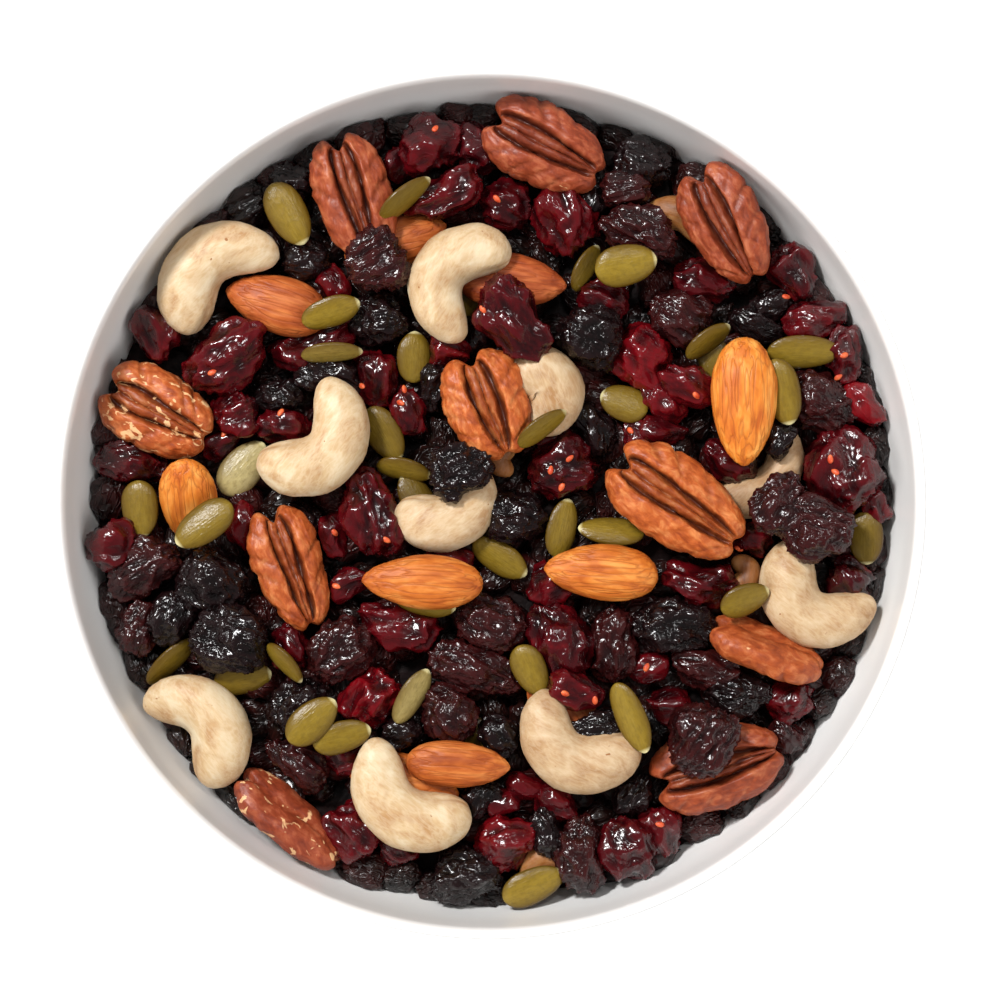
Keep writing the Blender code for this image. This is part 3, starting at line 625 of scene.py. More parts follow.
almondLook = {
    "rings": 56, "sides": 48, "ends": (0.50, 0.66), "thickness": 0.62, "keel": 0.05,
    "lumpDepth": 0.15 * mm, "lumpSize": 6.0,
    "foldDepth": 0.15 * mm, "foldSize": 1.5, "fineDepth": 0.06 * mm, "fineSize": 0.8, "lengthwise": 7.0,
    # tone 0 is bright and 1 reddish
    "columns": "layer x y length width turn pitch tone",
    "rows": [
        (2, 277, 304, 21.8, 11.8, 164, 0, 0.85),
        (1, 511, 281, 22.6, 11.4, -5, 0, 1.0),
        (4, 744, 402, 26.2, 13.4, -90, 0, 0.0),
        (3, 422, 582, 24.4, 11.0, 178, 0, 0.40),
        (3, 601, 572, 23.2, 11.6, 176, 0, 0.30),
        (2, 458, 764, 21.2, 9.4, -4, 0, 0.7),
        (1, 404, 781, 23.0, 11.0, -15, 0, 0.6),
        (2, 189, 503, 22.0, 11.8, -88, 38, 0.1),
        (0, 396, 243, 22.0, 11.0, 20, 0, 0.8),
        (0, 567, 712, 21.0, 11.0, -50, 0, 0.8),
    ],
}


def almondSkin(piece):
    length, width, thickness = piece["size"]

    def shape(u, turn):
        around = tapered(u, almondLook["ends"])
        keel = 1 + almondLook["keel"] * np.cos(2 * turn)
        y = width / 2 * around * np.cos(turn) * keel / (1 + almondLook["keel"])
        z = thickness / 2 * around * np.sin(turn) * keel / (1 - almondLook["keel"])
        return np.stack([length / 2 * u, y, z], axis=-1), {"reach": np.ones_like(u)}

    return closedSkin(almondLook["rings"], almondLook["sides"], shape)


pecanLook = {
    "rings": 76, "topSides": 72, "underSides": 22, "evenness": 0.35, "seed": 300,
    "thickness": 0.62, "ends": (2.5, 0.5), "endPower": 0.8, "endFade": (1.7, 0.2), "narrowing": 0.12,
    "topPower": 0.72, "underPower": 0.9, "underShare": 0.75, "grooveTaper": 0.2, "waver": 0.02, "underWaver": 0.1,
    "ridgeEdge": 12, "furrowEdge": (0.08, 4), "furrowSpan": (-0.95, 1.2), "furrowShare": (0.1, 1.0),
    "underFurrow": 0.5, "creaseShade": 0.7, "ridgeShade": 0.4, "furrowShade": 0.4, "reachGain": 1.5,
    "groovePlace": 0.27, "grooveWidth": 0.07, "grooveDepth": 0.56, "ridgeSunk": 0.26,
    "creaseWidth": 0.035, "creaseDepth": 0.24, "split": (0.28, 0.12), "splitWidth": 0.2,
    "furrowEvery": 0.36, "furrowWidth": 0.05, "furrowDepth": 0.10, "furrowSlant": 0.5, "furrowStray": 0.45,
    "scallop": 0.07, "underGroove": 0.22, "underWidth": 0.16,
    "lumpDepth": 0.42 * mm, "lumpSize": 5.0,
    "foldDepth": 0.22 * mm, "foldSize": 2.4, "fineDepth": 0.10 * mm, "fineSize": 1.0, "lengthwise": 1.5,
    # tone 0 is orange and 1 reddish; flakes 1 and more show pale flesh
    "columns": "layer x y length width turn roll tone flakes",
    "rows": [
        (3, 545, 140, 27.0, 16.4, -28, 0, 0.85, 0.2),
        (2, 355, 199, 28.4, 15.4, -72, 0, 0.75, 0.2),
        (2, 726, 224, 26.6, 15.4, -62, 18, 0.8, 0.2),
        (2, 157, 412, 24.8, 16.8, -28, 0, 0.2, 1.12),
        (2, 290, 568, 27.2, 14.4, -70, -12, 0.2, 0.25),
        (3, 676, 501, 32.2, 17.6, -35, 0, 0.0, 0.15),
        (2, 488, 405, 23.4, 17.2, -68, 0, 0.0, 0.2),
        (2, 767, 648, 25.6, 14.0, -22, 118, 0.4, 0.4),
        (2, 717, 767, 28.4, 16.8, 17, 0, 0.75, 0.3),
        (2, 289, 819, 28.0, 12.4, -42, 130, 0.9, 0.92),
    ],
}


def pecanSkin(piece, draw):
    # rounded back up: two ridges with a crease between them, a deep groove on either side,
    # and outside each groove a broad lobe with slanting furrows
    look = pecanLook
    length, width, thickness = piece["size"]
    wave = draw.uniform(0, 6)
    every = look["furrowEvery"]
    stray = look["furrowStray"]
    furrows = [[(place + draw.uniform(-stray, stray) * every, draw.uniform(*look["furrowShare"]))
                for place in np.arange(*look["furrowSpan"], every)] for _ in range(2)]

    def furrowOf(slant, rows):
        return sum(deep * hollow(slant - place, look["furrowWidth"]) for place, deep in rows)

    def shape(u, turn):
        around = np.maximum(0, 1 - np.abs(u) ** look["ends"][0]) ** look["ends"][1]
        v, top = np.cos(turn), np.sin(turn)
        fade = np.clip(around * look["endFade"][0] - look["endFade"][1], 0, 1)
        place = look["groovePlace"] * (1 - look["grooveTaper"] * u) + look["waver"] * np.sin(4 * u + wave)
        groove = hollow(np.abs(v) - place, look["grooveWidth"])
        crease = hollow(v + look["waver"] * np.sin(5 * u + wave), look["creaseWidth"])
        slant = u + look["furrowSlant"] * np.abs(v)
        furrow = np.where(v > 0, furrowOf(slant, furrows[0]), furrowOf(slant, furrows[1]))
        start, slope = look["furrowEdge"]
        furrow = furrow * np.clip((np.abs(v) - place - start) * slope, 0, 1)
        middle = np.clip((place - np.abs(v)) * look["ridgeEdge"] + 0.5, 0, 1)
        cut = 1 - fade * (look["grooveDepth"] * groove + look["creaseDepth"] * crease + look["ridgeSunk"] * middle)
        cut = cut - look["furrowDepth"] * furrow
        under = hollow(v + look["underWaver"] * np.sin(3 * u + wave), look["underWidth"])
        under = 1 - look["underGroove"] * under * fade - look["underFurrow"] * look["furrowDepth"] * furrow
        below = -np.abs(top) ** look["underPower"] * look["underShare"] * under
        lift = np.where(top > 0, np.abs(top) ** look["topPower"] * cut, below)
        y = width / 2 * around * (1 - look["narrowing"] * u) * v * (1 - look["scallop"] * furrow)
        z = thickness / 2 * around ** look["endPower"] * lift
        parting = hollow(around * v, look["splitWidth"]) * u ** 2
        notch = np.where(u < 0, look["split"][0], look["split"][1]) * parting
        # painted shade: the grooves, the crease, the sunk middle and the furrows on top are carried as darker
        grooveShade = np.maximum(np.maximum(groove, look["creaseShade"] * crease), look["ridgeShade"] * middle) * fade
        grooveShade = np.where(top > 0, np.maximum(grooveShade, look["furrowShade"] * furrow), 0.0)
        values = {"groove": np.clip(grooveShade, 0, 1), "reach": np.clip(around * look["reachGain"], 0, 1)}
        return np.stack([length / 2 * u * (1 - notch), y, z], axis=-1), values

    over = np.linspace(0, np.pi, look["topSides"])
    turns = look["evenness"] * over + (1 - look["evenness"]) * np.arccos(np.linspace(1, -1, look["topSides"]))
    turns = np.concatenate([turns, np.linspace(np.pi, 2 * np.pi, look["underSides"] + 2)[1:-1]])
    return closedSkin(look["rings"], len(turns), shape, turns)


cranberryLook = {
    "rings": 42, "sides": 44, "thickness": 0.80,
    "lumpDepth": 1.0 * mm, "lumpSize": 6.0,
    "foldDepth": 1.35 * mm, "foldSize": 4.4, "fineDepth": 0.42 * mm, "fineSize": 1.8,
    "lengthwise": 2.2, "sharpness": 4.8,
    # tone 0 is deep and 1 bright red; the bright red is partly the berry's own colour and partly painted glow of
    # light through the skin
    "columns": "layer x y length width turn tone",
    "rows": [
        (1, 436, 147, 14.5, 11.0, 15, 0.3), (0, 478, 152, 11.0, 9.0, -10, 0.1),
        (3, 446, 193, 17.0, 8.6, 28, 0.35), (1, 396, 165, 7.0, 6.0, 60, 0.3),
        (1, 505, 205, 11.0, 9.0, -20, 0.15), (2, 563, 217, 15.5, 12.0, -62, 0.35),
        (3, 514, 320, 19.0, 11.0, -52, 0.25), (1, 448, 350, 9.0, 6.5, -10, 0.5),
        (2, 642, 360, 14.0, 10.5, -35, 0.65), (2, 664, 395, 11.0, 8.0, -50, 0.5),
        (2, 688, 384, 11.5, 7.5, -22, 0.5), (1, 666, 431, 10.0, 5.6, -5, 0.3),
        (1, 636, 432, 7.0, 5.6, -40, 0.4), (2, 563, 470, 13.5, 12.2, 10, 0.2),
        (0, 552, 437, 8.0, 6.0, 30, 0.2), (2, 378, 380, 12.0, 8.0, -80, 0.3),
        (2, 408, 412, 10.5, 6.8, -65, 0.4), (2, 312, 345, 18.5, 7.5, 18, 0.2),
        (2, 334, 284, 8.6, 5.8, -52, 0.4), (1, 157, 333, 12.0, 8.5, -70, 0.3),
        (2, 227, 355, 18.0, 12.0, 38, 0.35), (2, 235, 414, 10.0, 9.5, 30, 0.4),
        (1, 221, 440, 8.6, 7.0, 40, 0.3), (2, 287, 428, 12.0, 7.0, -12, 0.3),
        (1, 132, 463, 15.5, 8.6, -10, 0.2), (1, 243, 525, 10.0, 6.4, -80, 0.4),
        (1, 104, 543, 10.0, 9.4, 0, 0.3), (2, 372, 515, 18.0, 10.6, -74, 0.3),
        (1, 333, 535, 10.0, 5.6, -75, 0.3), (1, 349, 583, 8.6, 5.6, 30, 0.3),
        (2, 401, 624, 16.0, 9.4, -10, 0.35), (2, 372, 697, 12.4, 11.2, 60, 0.75),
        (1, 345, 757, 8.0, 6.6, 10, 0.4), (2, 557, 645, 17.2, 11.2, -72, 0.15),
        (1, 547, 588, 9.0, 8.0, 30, 0.4), (2, 699, 580, 15.5, 8.4, -6, 0.3),
        (1, 650, 668, 8.6, 5.6, 30, 0.4), (2, 792, 702, 9.6, 8.6, 40, 0.3),
        (1, 667, 705, 9.0, 6.6, 0, 0.3), (1, 752, 537, 8.0, 7.0, -20, 0.3),
        (2, 840, 470, 17.5, 14.5, -70, 0.3), (2, 869, 404, 11.5, 5.8, -50, 0.8),
        (2, 856, 350, 12.0, 8.0, -80, 0.3), (2, 815, 319, 13.4, 8.0, 8, 0.35),
        (2, 801, 270, 12.0, 8.8, -62, 0.3), (1, 731, 462, 11.5, 7.6, -20, 0.2),
        (1, 850, 580, 9.6, 8.6, -50, 0.1), (1, 887, 508, 8.6, 5.2, -62, 0.5),
        (2, 660, 832, 10.6, 8.2, -70, 0.3), (2, 624, 847, 12.8, 10.4, -60, 0.2),
        (2, 508, 843, 11.6, 10.8, 20, 0.6), (1, 503, 802, 8.0, 5.6, 20, 0.3),
        (2, 556, 802, 9.6, 7.2, -20, 0.3), (1, 525, 785, 8.0, 5.6, -20, 0.3),
        (1, 397, 849, 9.0, 5.6, -25, 0.3), (2, 352, 830, 12.0, 9.8, -45, 0.35),
        (2, 575, 690, 11.5, 7.0, -10, 0.4), (1, 452, 560, 9.6, 6.0, -20, 0.3),
        (1, 706, 280, 12.4, 8.8, -15, 0.2), (1, 605, 301, 10.2, 7.8, -15, 0.2),
        (1, 291, 646, 9.4, 8.6, -60, 0.2),
    ],
}

raisinLook = {
    "rings": 56, "sides": 60, "thickness": 0.80,
    "lumpDepth": 0.8 * mm, "lumpSize": 6.0,
    "foldDepth": 1.10 * mm, "foldSize": 3.0, "fineDepth": 0.50 * mm, "fineSize": 1.25,
    "lengthwise": 2.4, "sharpness": 4.8,
    "columns": "kind layer x y length width turn",
    "rows": [
        ("black", 2, 643, 163, 11.8, 9.8, -20), ("brown", 2, 624, 189, 9.2, 7.8, 10),
        ("brown", 2, 638, 230, 15.8, 9.6, -22), ("black", 0, 592, 200, 7.0, 6.0, 60),
        ("brown", 2, 680, 317, 13.5, 10.4, -30), ("black", 2, 588, 338, 13.6, 12.4, -20),
        ("black", 0, 477, 335, 8.6, 7.0, -60), ("black", 2, 593, 428, 12.2, 7.0, -62),
        ("black", 3, 461, 470, 12.6, 10.8, 25), ("black", 2, 511, 517, 13.2, 9.8, -10),
        ("black", 1, 438, 388, 9.6, 8.0, 60), ("black", 2, 330, 378, 13.6, 7.4, -10),
        ("black", 2, 379, 320, 11.6, 9.8, -10), ("brown", 3, 374, 262, 13.0, 11.6, 30),
        ("black", 2, 306, 259, 10.0, 7.6, 10), ("black", 1, 291, 183, 9.0, 8.0, -30),
        ("black", 1, 248, 211, 8.6, 6.0, 30), ("black", 1, 281, 395, 11.0, 6.4, 5),
        ("brown", 2, 143, 567, 15.4, 10.2, 32), ("black", 2, 213, 581, 14.0, 12.6, -25),
        ("black", 2, 229, 641, 15.6, 13.2, -10), ("brown", 1, 139, 626, 11.8, 8.0, 70),
        ("black", 1, 174, 618, 10.6, 8.4, 60), ("black", 1, 302, 520, 8.0, 7.0, 0),
        ("brown", 2, 339, 649, 13.6, 12.0, 50), ("black", 2, 298, 706, 13.0, 9.2, 30),
        ("brown", 2, 296, 764, 14.8, 7.6, -42), ("black", 1, 401, 735, 8.2, 7.0, 20),
        ("brown", 2, 449, 713, 12.0, 11.0, -35), ("brown", 2, 492, 623, 15.0, 10.6, -15),
        ("brown", 2, 474, 668, 20.0, 9.4, -18), ("black", 1, 500, 735, 9.0, 7.6, -30),
        ("brown", 2, 611, 643, 15.2, 9.0, -86), ("black", 2, 672, 627, 16.4, 10.8, -8),
        ("brown", 2, 706, 667, 13.6, 7.2, -12), ("black", 1, 738, 693, 14.2, 8.0, -10),
        ("brown", 3, 702, 741, 14.8, 13.0, 60), ("brown", 3, 779, 503, 13.0, 11.4, 50),
        ("brown", 3, 818, 527, 14.8, 12.0, -15), ("brown", 2, 822, 402, 15.4, 11.0, -20),
        ("black", 1, 757, 325, 11.6, 5.8, -22), ("black", 1, 772, 304, 9.0, 6.0, 20),
        ("black", 1, 781, 440, 8.0, 6.0, 60), ("brown", 1, 787, 735, 8.0, 6.4, -40),
        ("brown", 2, 582, 856, 16.0, 9.6, -82), ("black", 0, 545, 833, 10.4, 6.6, -75),
        ("black", 1, 481, 798, 8.4, 6.6, 60), ("black", 2, 462, 878, 13.8, 10.4, 10),
        ("black", 1, 596, 727, 11.0, 6.6, 10), ("black", 1, 633, 795, 9.4, 7.2, 60),
    ],
}

fruitShape = {
    # how far a fruit strays from an ellipsoid, and how its mesh grows with its size
    "waves": 5, "waveCounts": (1, 4), "waveSize": (0.4, 1.0), "twist": (-3, 3), "lump": 0.06,
    "bend": (-0.14, 0.14), "bendMiddle": 0.4, "lean": (-0.22, 0.22), "power": (1.9, 2.7), "lengthShare": 0.96,
    "usualSize": 11.5 * mm, "meshShare": (0.6, 1.15), "fullReach": 9 * mm,
}


def fruitSkin(piece, look, draw):
    # a shrunken berry: an ellipsoid with a thicker end, a bend and a few soft lumps
    rule = fruitShape
    length, width, thickness = piece["size"]
    least, most = rule["meshShare"]
    share = min(most, max(least, (length * width) ** 0.5 / rule["usualSize"]))
    waves = [(draw.integers(*rule["waveCounts"]), draw.random() * 2 * np.pi, draw.uniform(*rule["waveSize"]),
              draw.uniform(*rule["twist"])) for _ in range(rule["waves"])]
    bend, lean, power = (draw.uniform(*rule[key]) for key in ("bend", "lean", "power"))
    reach = min(1.0, width / rule["fullReach"])

    def shape(u, turn):
        around = np.maximum(0, 1 - np.abs(u) ** power) ** 0.5 * (1 + lean * u)
        lump = sum(size * np.sin(count * turn + phase + twist * u) for count, phase, size, twist in waves)
        around = around * (1 + rule["lump"] * lump)
        x = length / 2 * rule["lengthShare"] * u
        y = width / 2 * around * np.cos(turn) + bend * length * (u ** 2 - rule["bendMiddle"])
        z = thickness / 2 * around * np.sin(turn)
        return np.stack([x, y, z], axis=-1), {"reach": np.full(u.shape, reach)}

    return closedSkin(int(look["rings"] * share), int(look["sides"] * share), shape)


# The finishes. A pattern is its stretch along, across and up a piece, then the noise's scale, detail,
# roughness and swirl.

glazeFinish = {
    "colours": [(0.3, rgb(243, 241, 238)), (0.7, rgb(249, 248, 246))],
    "cloud": (18.0, 2.0), "mottle": (60.0, 2.0), "ripple": (45.0, 2.0),
    "roughness": (0.06, 0.26), "rippleStrength": 0.05, "rippleDepth": 0.3 * mm,
    "sockets": {"Coat Weight": 0.15, "Coat Roughness": 0.2},
}


def glazeMaterial():
    look = glazeFinish
    made, tree, shader = newMaterial("whiteGlaze", look["sockets"])
    place = placeOf(tree)
    paint(tree, shader, rampOf(tree, noiseOf(tree, place, *look["cloud"]), look["colours"]))
    swing, least = look["roughness"]
    rough = mathOf(tree, "ADD", times(tree, noiseOf(tree, place, *look["mottle"]), swing), least)
    tree.links.new(rough, shader.inputs["Roughness"])
    emboss(tree, shader, noiseOf(tree, place, *look["ripple"]), look["rippleStrength"], look["rippleDepth"])
    return made


coreFinish = {
    "colours": [(0.35, rgb(8, 3, 3)), (0.7, rgb(28, 11, 10))],
    "cloud": (160.0, 4.0), "lumps": (0.8, 1.5 * mm),
    "sockets": {"Roughness": 0.6, "Specular IOR Level": 0.15},
}


def cloudyMaterial(name, look):
    # colours in soft clouds, raised where the look has lumps
    made, tree, shader = newMaterial(name, look["sockets"])
    cloud = noiseOf(tree, placeOf(tree), *look["cloud"])
    paint(tree, shader, rampOf(tree, cloud, look["colours"]))
    if "lumps" in look:
        emboss(tree, shader, cloud, *look["lumps"])
    return made


cashewFinish = {
    "pale": [(0.30, rgb(180, 138, 92)), (0.50, rgb(203, 173, 131)), (0.70, rgb(218, 200, 167))],
    "tan": [(0.30, rgb(104, 56, 22)), (0.52, rgb(142, 86, 38)), (0.72, rgb(176, 122, 66))],
    "patches": ((0.6, 1, 1), 0.22, 3.0, 0.55, 0.8),
    "streaks": ((0.25, 1, 1), 1.1, 3.0, 0.6, 0.5), "streakSharpness": 9.0,
    "vein": rgb(228, 214, 188), "veinShare": (0.25, 0.2),
    # painted shade along the cleft where the halves part
    "cleft": rgb(150, 104, 60), "cleftShadeShare": 0.6,
    "pits": ((1, 1, 1), 0.7, 1.0), "pitLevel": 0.78, "pitSlope": 30.0, "pit": rgb(150, 98, 54),
    "grain": ((0.5, 1, 1), 2.2, 3.0), "grainStrength": 0.25, "grainDepth": 0.25 * mm,
    "sockets": {"Roughness": 0.48, "Specular IOR Level": 0.35, "Subsurface Weight": 0.08,
                "Subsurface Radius": (1.0, 0.6, 0.3), "Subsurface Scale": 1.2 * mm},
}


def cashewMaterial():
    look = cashewFinish
    made, tree, shader = newMaterial("cashewFlesh", look["sockets"])
    colour = tonedRamp(tree, patternOf(tree, *look["patches"]), look["pale"], look["tan"])
    most, fall = look["veinShare"]
    veins = ridgeOf(tree, patternOf(tree, *look["streaks"]), look["streakSharpness"])
    veins = times(tree, veins, minus(tree, most, times(tree, pieceValue(tree, "tone"), fall)))
    colour = mixOf(tree, veins, colour, look["vein"])
    # painted shade: the sunk cleft between the halves is painted darker
    cleft = times(tree, pieceValue(tree, "groove"), look["cleftShadeShare"], clamp=True)
    colour = mixOf(tree, cleft, colour, look["cleft"])
    pits = above(tree, patternOf(tree, *look["pits"]), look["pitLevel"], look["pitSlope"])
    paint(tree, shader, mixOf(tree, pits, colour, look["pit"]))
    emboss(tree, shader, patternOf(tree, *look["grain"]), look["grainStrength"], look["grainDepth"])
    return made


almondFinish = {
    "bright": [(0.30, rgb(184, 90, 26)), (0.50, rgb(214, 122, 40)), (0.70, rgb(236, 160, 74))],
    "dull": [(0.30, rgb(124, 50, 22)), (0.50, rgb(160, 74, 34)), (0.70, rgb(190, 102, 52))],
    "cloud": ((0.3, 1, 1), 0.45, 3.0, 0.55, 0.3),
    "veins": ((0.05, 1, 1), 0.8, 1.0, 0.5, 0.15), "veinSharpness": 14.0,
    "vein": rgb(128, 54, 18), "veinShare": 0.4, "veinStrength": 0.35, "veinDepth": 0.35 * mm,
    "sockets": {"Roughness": 0.48, "Specular IOR Level": 0.3},
}


def almondMaterial():
    look = almondFinish
    made, tree, shader = newMaterial("almondSkin", look["sockets"])
    colour = tonedRamp(tree, patternOf(tree, *look["cloud"]), look["bright"], look["dull"])
    lines = ridgeOf(tree, patternOf(tree, *look["veins"]), look["veinSharpness"])
    paint(tree, shader, mixOf(tree, times(tree, lines, look["veinShare"]), colour, look["vein"]))
    emboss(tree, shader, minus(tree, 1.0, lines), look["veinStrength"], look["veinDepth"])
    return made


pecanFinish = {
    "orange": [(0.30, rgb(146, 62, 22)), (0.50, rgb(190, 94, 40)), (0.70, rgb(222, 138, 78))],
    "red": [(0.30, rgb(98, 36, 22)), (0.50, rgb(136, 56, 34)), (0.70, rgb(168, 88, 60))],
    "cloud": ((0.6, 1, 1), 0.55, 4.0, 0.6, 0.6),
    # painted shade: the valleys of the skin's folds take this darker colour
    "fold": rgb(110, 42, 20), "foldShare": 0.30,
    # painted shade: the grooves, crease, sunk middle and furrows take this dark colour
    "groove": rgb(56, 18, 11), "grooveShadeShare": 0.95,
    "chips": ((0.7, 1, 1), 0.42, 2.5, 0.55, 0.8), "chipLevel": (0.80, 0.20), "chipSlope": 30.0,
    "chip": rgb(232, 186, 134), "chipShare": 0.85,
    "grain": ((0.5, 1, 1), 1.3, 4.0), "grainStrength": 0.35, "grainDepth": 0.4 * mm,
    "sockets": {"Roughness": 0.42, "Specular IOR Level": 0.35},
}


def pecanMaterial():
    look = pecanFinish
    made, tree, shader = newMaterial("pecanSkin", look["sockets"])
    colour = tonedRamp(tree, patternOf(tree, *look["cloud"]), look["orange"], look["red"])
    # painted shade: darker in the valleys of the folds
    fold = times(tree, minus(tree, 1.0, pieceValue(tree, "fold")), look["foldShare"])
    colour = mixOf(tree, fold, colour, look["fold"])
    # painted shade in the grooves, crease, sunk middle and furrows
    groove = times(tree, pieceValue(tree, "groove"), look["grooveShadeShare"], clamp=True)
    colour = mixOf(tree, groove, colour, look["groove"])
    # the more flakes a half has, the lower the level above which they show
    most, fall = look["chipLevel"]
    level = minus(tree, most, times(tree, pieceValue(tree, "flakes"), fall))
    chip = above(tree, patternOf(tree, *look["chips"]), level, look["chipSlope"])
    paint(tree, shader, mixOf(tree, times(tree, chip, look["chipShare"]), colour, look["chip"]))
    emboss(tree, shader, patternOf(tree, *look["grain"]), look["grainStrength"], look["grainDepth"])
    return made


seedFinish = {
    "tones": [(0.0, rgb(62, 42, 5)), (0.4, rgb(104, 80, 10)), (0.65, rgb(134, 108, 24)), (1.0, rgb(190, 176, 128))],
    "cloud": ((0.4, 1, 1), 0.5, 3.0), "cloudShare": 0.4, "cloudColour": rgb(112, 84, 14),
    "mottle": ((0.7, 1, 1), 1.3, 3.0, 0.6), "mottleLevel": 0.45, "mottleSlope": 4.0,
    "mottleShare": 0.4, "mottleColour": rgb(72, 52, 8),
    "streak": ((0.15, 1, 1), 2.6, 2.0), "streakShare": 0.16, "streakColour": rgb(206, 184, 92),
    # darker towards the rim: partly the seed's own darker edge, partly painted shade on its rounded edge
    "edgePower": 2.2, "edgeShare": 0.8, "edgeColour": rgb(72, 48, 7),
    "tipStart": 0.86, "tipSlope": 9.0, "tipShare": 0.8, "tipColour": rgb(232, 222, 168),
    "grainStrength": 0.4, "grainDepth": 0.25 * mm,
    "sockets": {"Roughness": 0.3, "Specular IOR Level": 0.35},
}


def seedMaterial():
    look = seedFinish
    made, tree, shader = newMaterial("pumpkinSeedSkin", look["sockets"])
    mottle = patternOf(tree, *look["mottle"])
    streak = patternOf(tree, *look["streak"])
    layers = {
        "cloud": patternOf(tree, *look["cloud"]),
        "mottle": above(tree, mottle, look["mottleLevel"], look["mottleSlope"]),
        "streak": streak,
        # the rim darkening is partly the seed's own colour and partly painted shade
        "edge": mathOf(tree, "POWER", pieceValue(tree, "edge"), look["edgePower"]),
        "tip": above(tree, pieceValue(tree, "along"), look["tipStart"], look["tipSlope"]),
    }
    colour = rampOf(tree, pieceValue(tree, "tone"), look["tones"])
    for name, share in layers.items():
        colour = mixOf(tree, times(tree, share, look[f"{name}Share"]), colour, look[f"{name}Colour"])
    paint(tree, shader, colour)
    emboss(tree, shader, mathOf(tree, "ADD", streak, mottle), look["grainStrength"], look["grainDepth"])
    return made


fruitFinish = {
    "cloud": ((1, 1, 1), 0.35, 3.0), "paintedGlowLevel": 0.5, "paintedGlowSlope": 5.0, "paintedGlowShare": 0.45,
    "valleyPlace": 0.05, "crestPlace": 0.7, "brightPlace": 0.6,
    "wrinkleStretch": (0.45, 1, 1), "wrinkle": (1.5, 0.5, 0.6), "wrinkleSharpness": 5.0,
    "wrinklePower": 2.0, "wrinkleDepth": 0.45 * mm, "specular": 0.35, "coatRoughness": 0.12,
    # valley colour (painted shade in the fold valleys), crest colour, bright colour (painted highlight on the crests
    # and painted glow of light through the skin), roughness, coat, wrinkle scale and strength
    "blackRaisinSkin": (rgb(3, 2, 2), rgb(15, 8, 9), rgb(32, 13, 14), 0.18, 0.3, 0.8, 0.5),
    "brownRaisinSkin": (rgb(7, 2, 3), rgb(36, 11, 12), rgb(66, 18, 17), 0.22, 0.3, 0.75, 0.5),
    "cranberrySkin": (rgb(9, 1, 2), rgb(46, 4, 9), rgb(124, 9, 18), 0.2, 0.4, 0.5, 0.4),
    # the deep fruit's browns are partly painted shade, for the dark gap between the heap and the wall
    "deepFruitSkin": (rgb(6, 3, 2), rgb(34, 14, 11), rgb(66, 14, 14), 0.30, 0.2, 0.8, 0.9),
}


def fruitMaterial(name):
    look = fruitFinish
    paintedValleyShade, crest, bright, roughness, coat, scale, strength = look[name]
    made, tree, shader = newMaterial(name, {
        "Roughness": roughness, "Specular IOR Level": look["specular"],
        "Coat Weight": coat, "Coat Roughness": look["coatRoughness"],
    })
    fold = pieceValue(tree, "fold")
    # painted shade and painted highlight: the fold valleys are painted darker and the crests lighter
    deep = rampOf(tree, fold, [(look["valleyPlace"], paintedValleyShade), (look["crestPlace"], crest)])
    lit = rampOf(tree, fold, [(0.0, crest), (look["brightPlace"], bright)])
    # painted glow: in soft patches, and on pieces of bright tone, the lit colours stand in for light shining through
    # the skin
    paintedGlowAndTone = above(tree, patternOf(tree, *look["cloud"]), look["paintedGlowLevel"], look["paintedGlowSlope"])
    paintedGlowAndTone = mathOf(tree, "MAXIMUM", times(tree, paintedGlowAndTone, look["paintedGlowShare"]), pieceValue(tree, "tone"))
    paint(tree, shader, mixOf(tree, paintedGlowAndTone, deep, lit))
    fine = patternOf(tree, look["wrinkleStretch"], scale, *look["wrinkle"])
    fine = mathOf(tree, "POWER", ridgeOf(tree, fine, look["wrinkleSharpness"]), look["wrinklePower"])
    emboss(tree, shader, fine, strength, look["wrinkleDepth"])
    return made


# making each piece

def smoothPiece(piece, material):
    piece.data.polygons.foreach_set("use_smooth", np.ones(len(piece.data.polygons), dtype=bool))
    piece.data.materials.append(material)
    return piece


def turnedPiece(name, profile, sides, material):
    # a closed skin: a profile of radius and height, turned about the bowl's axis
    turn = 2 * np.pi * np.arange(sides) / sides
    inner = np.array(profile[1:-1])
    points = np.stack([
        inner[:, 0][:, None] * np.cos(turn), inner[:, 0][:, None] * np.sin(turn),
        np.broadcast_to(inner[:, 1][:, None], (len(inner), sides)),
    ], axis=-1).reshape(-1, 3)
    points = np.concatenate([points, [[0, 0, profile[0][1]], [0, 0, profile[-1][1]]]])
    quads, caps = gridFaces(len(inner), sides)
    skin = {"points": points, "quads": quads, "caps": caps, "values": {}, "own": points / mm}
    return smoothPiece(joinedMesh(name, [skin]), material)


def makeBowl():
    bowl = turnedPiece("porcelainBowl", bowlProfile(), bowlSizes["segments"], glazeMaterial())
    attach(bowl, "root")
    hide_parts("bowl")


coreSizes = {"wallGap": 0.5 * mm, "drop": 0.5 * mm, "sides": 96, "wallRings": 16, "topRings": 24, "topEdge": 0.97}


def makeCore():
    # the dark food that lies below what shows
    level = heapLook["restLevel"] - coreSizes["drop"]
    radius, bottom = innerWall[0] - coreSizes["wallGap"], innerWall[1] + coreSizes["wallGap"]
    edge = float(wallRadius(level, radius, bottom))
    profile = [(r, float(wallHeight(r, radius, bottom))) for r in np.linspace(0, edge, coreSizes["wallRings"])]
    profile += [(edge * share, level) for share in np.linspace(coreSizes["topEdge"], 0, coreSizes["topRings"])]
    return turnedPiece("mixCore", profile, coreSizes["sides"], cloudyMaterial("hiddenFruit", coreFinish))


def foldPieces(name, skins, look, material):
    piece = joinedMesh(name, skins)
    sizes = {"Lengthwise": look.get("lengthwise", 1.6), "Sharpness": look.get("sharpness", 4.0)}
    for part in ("lump", "fold", "fine"):
        for what in ("Depth", "Size"):
            sizes[f"{part.title()} {what}"] = look[part + what]
    return runTree(piece, foldedSkin, {**sizes, "Material": material})


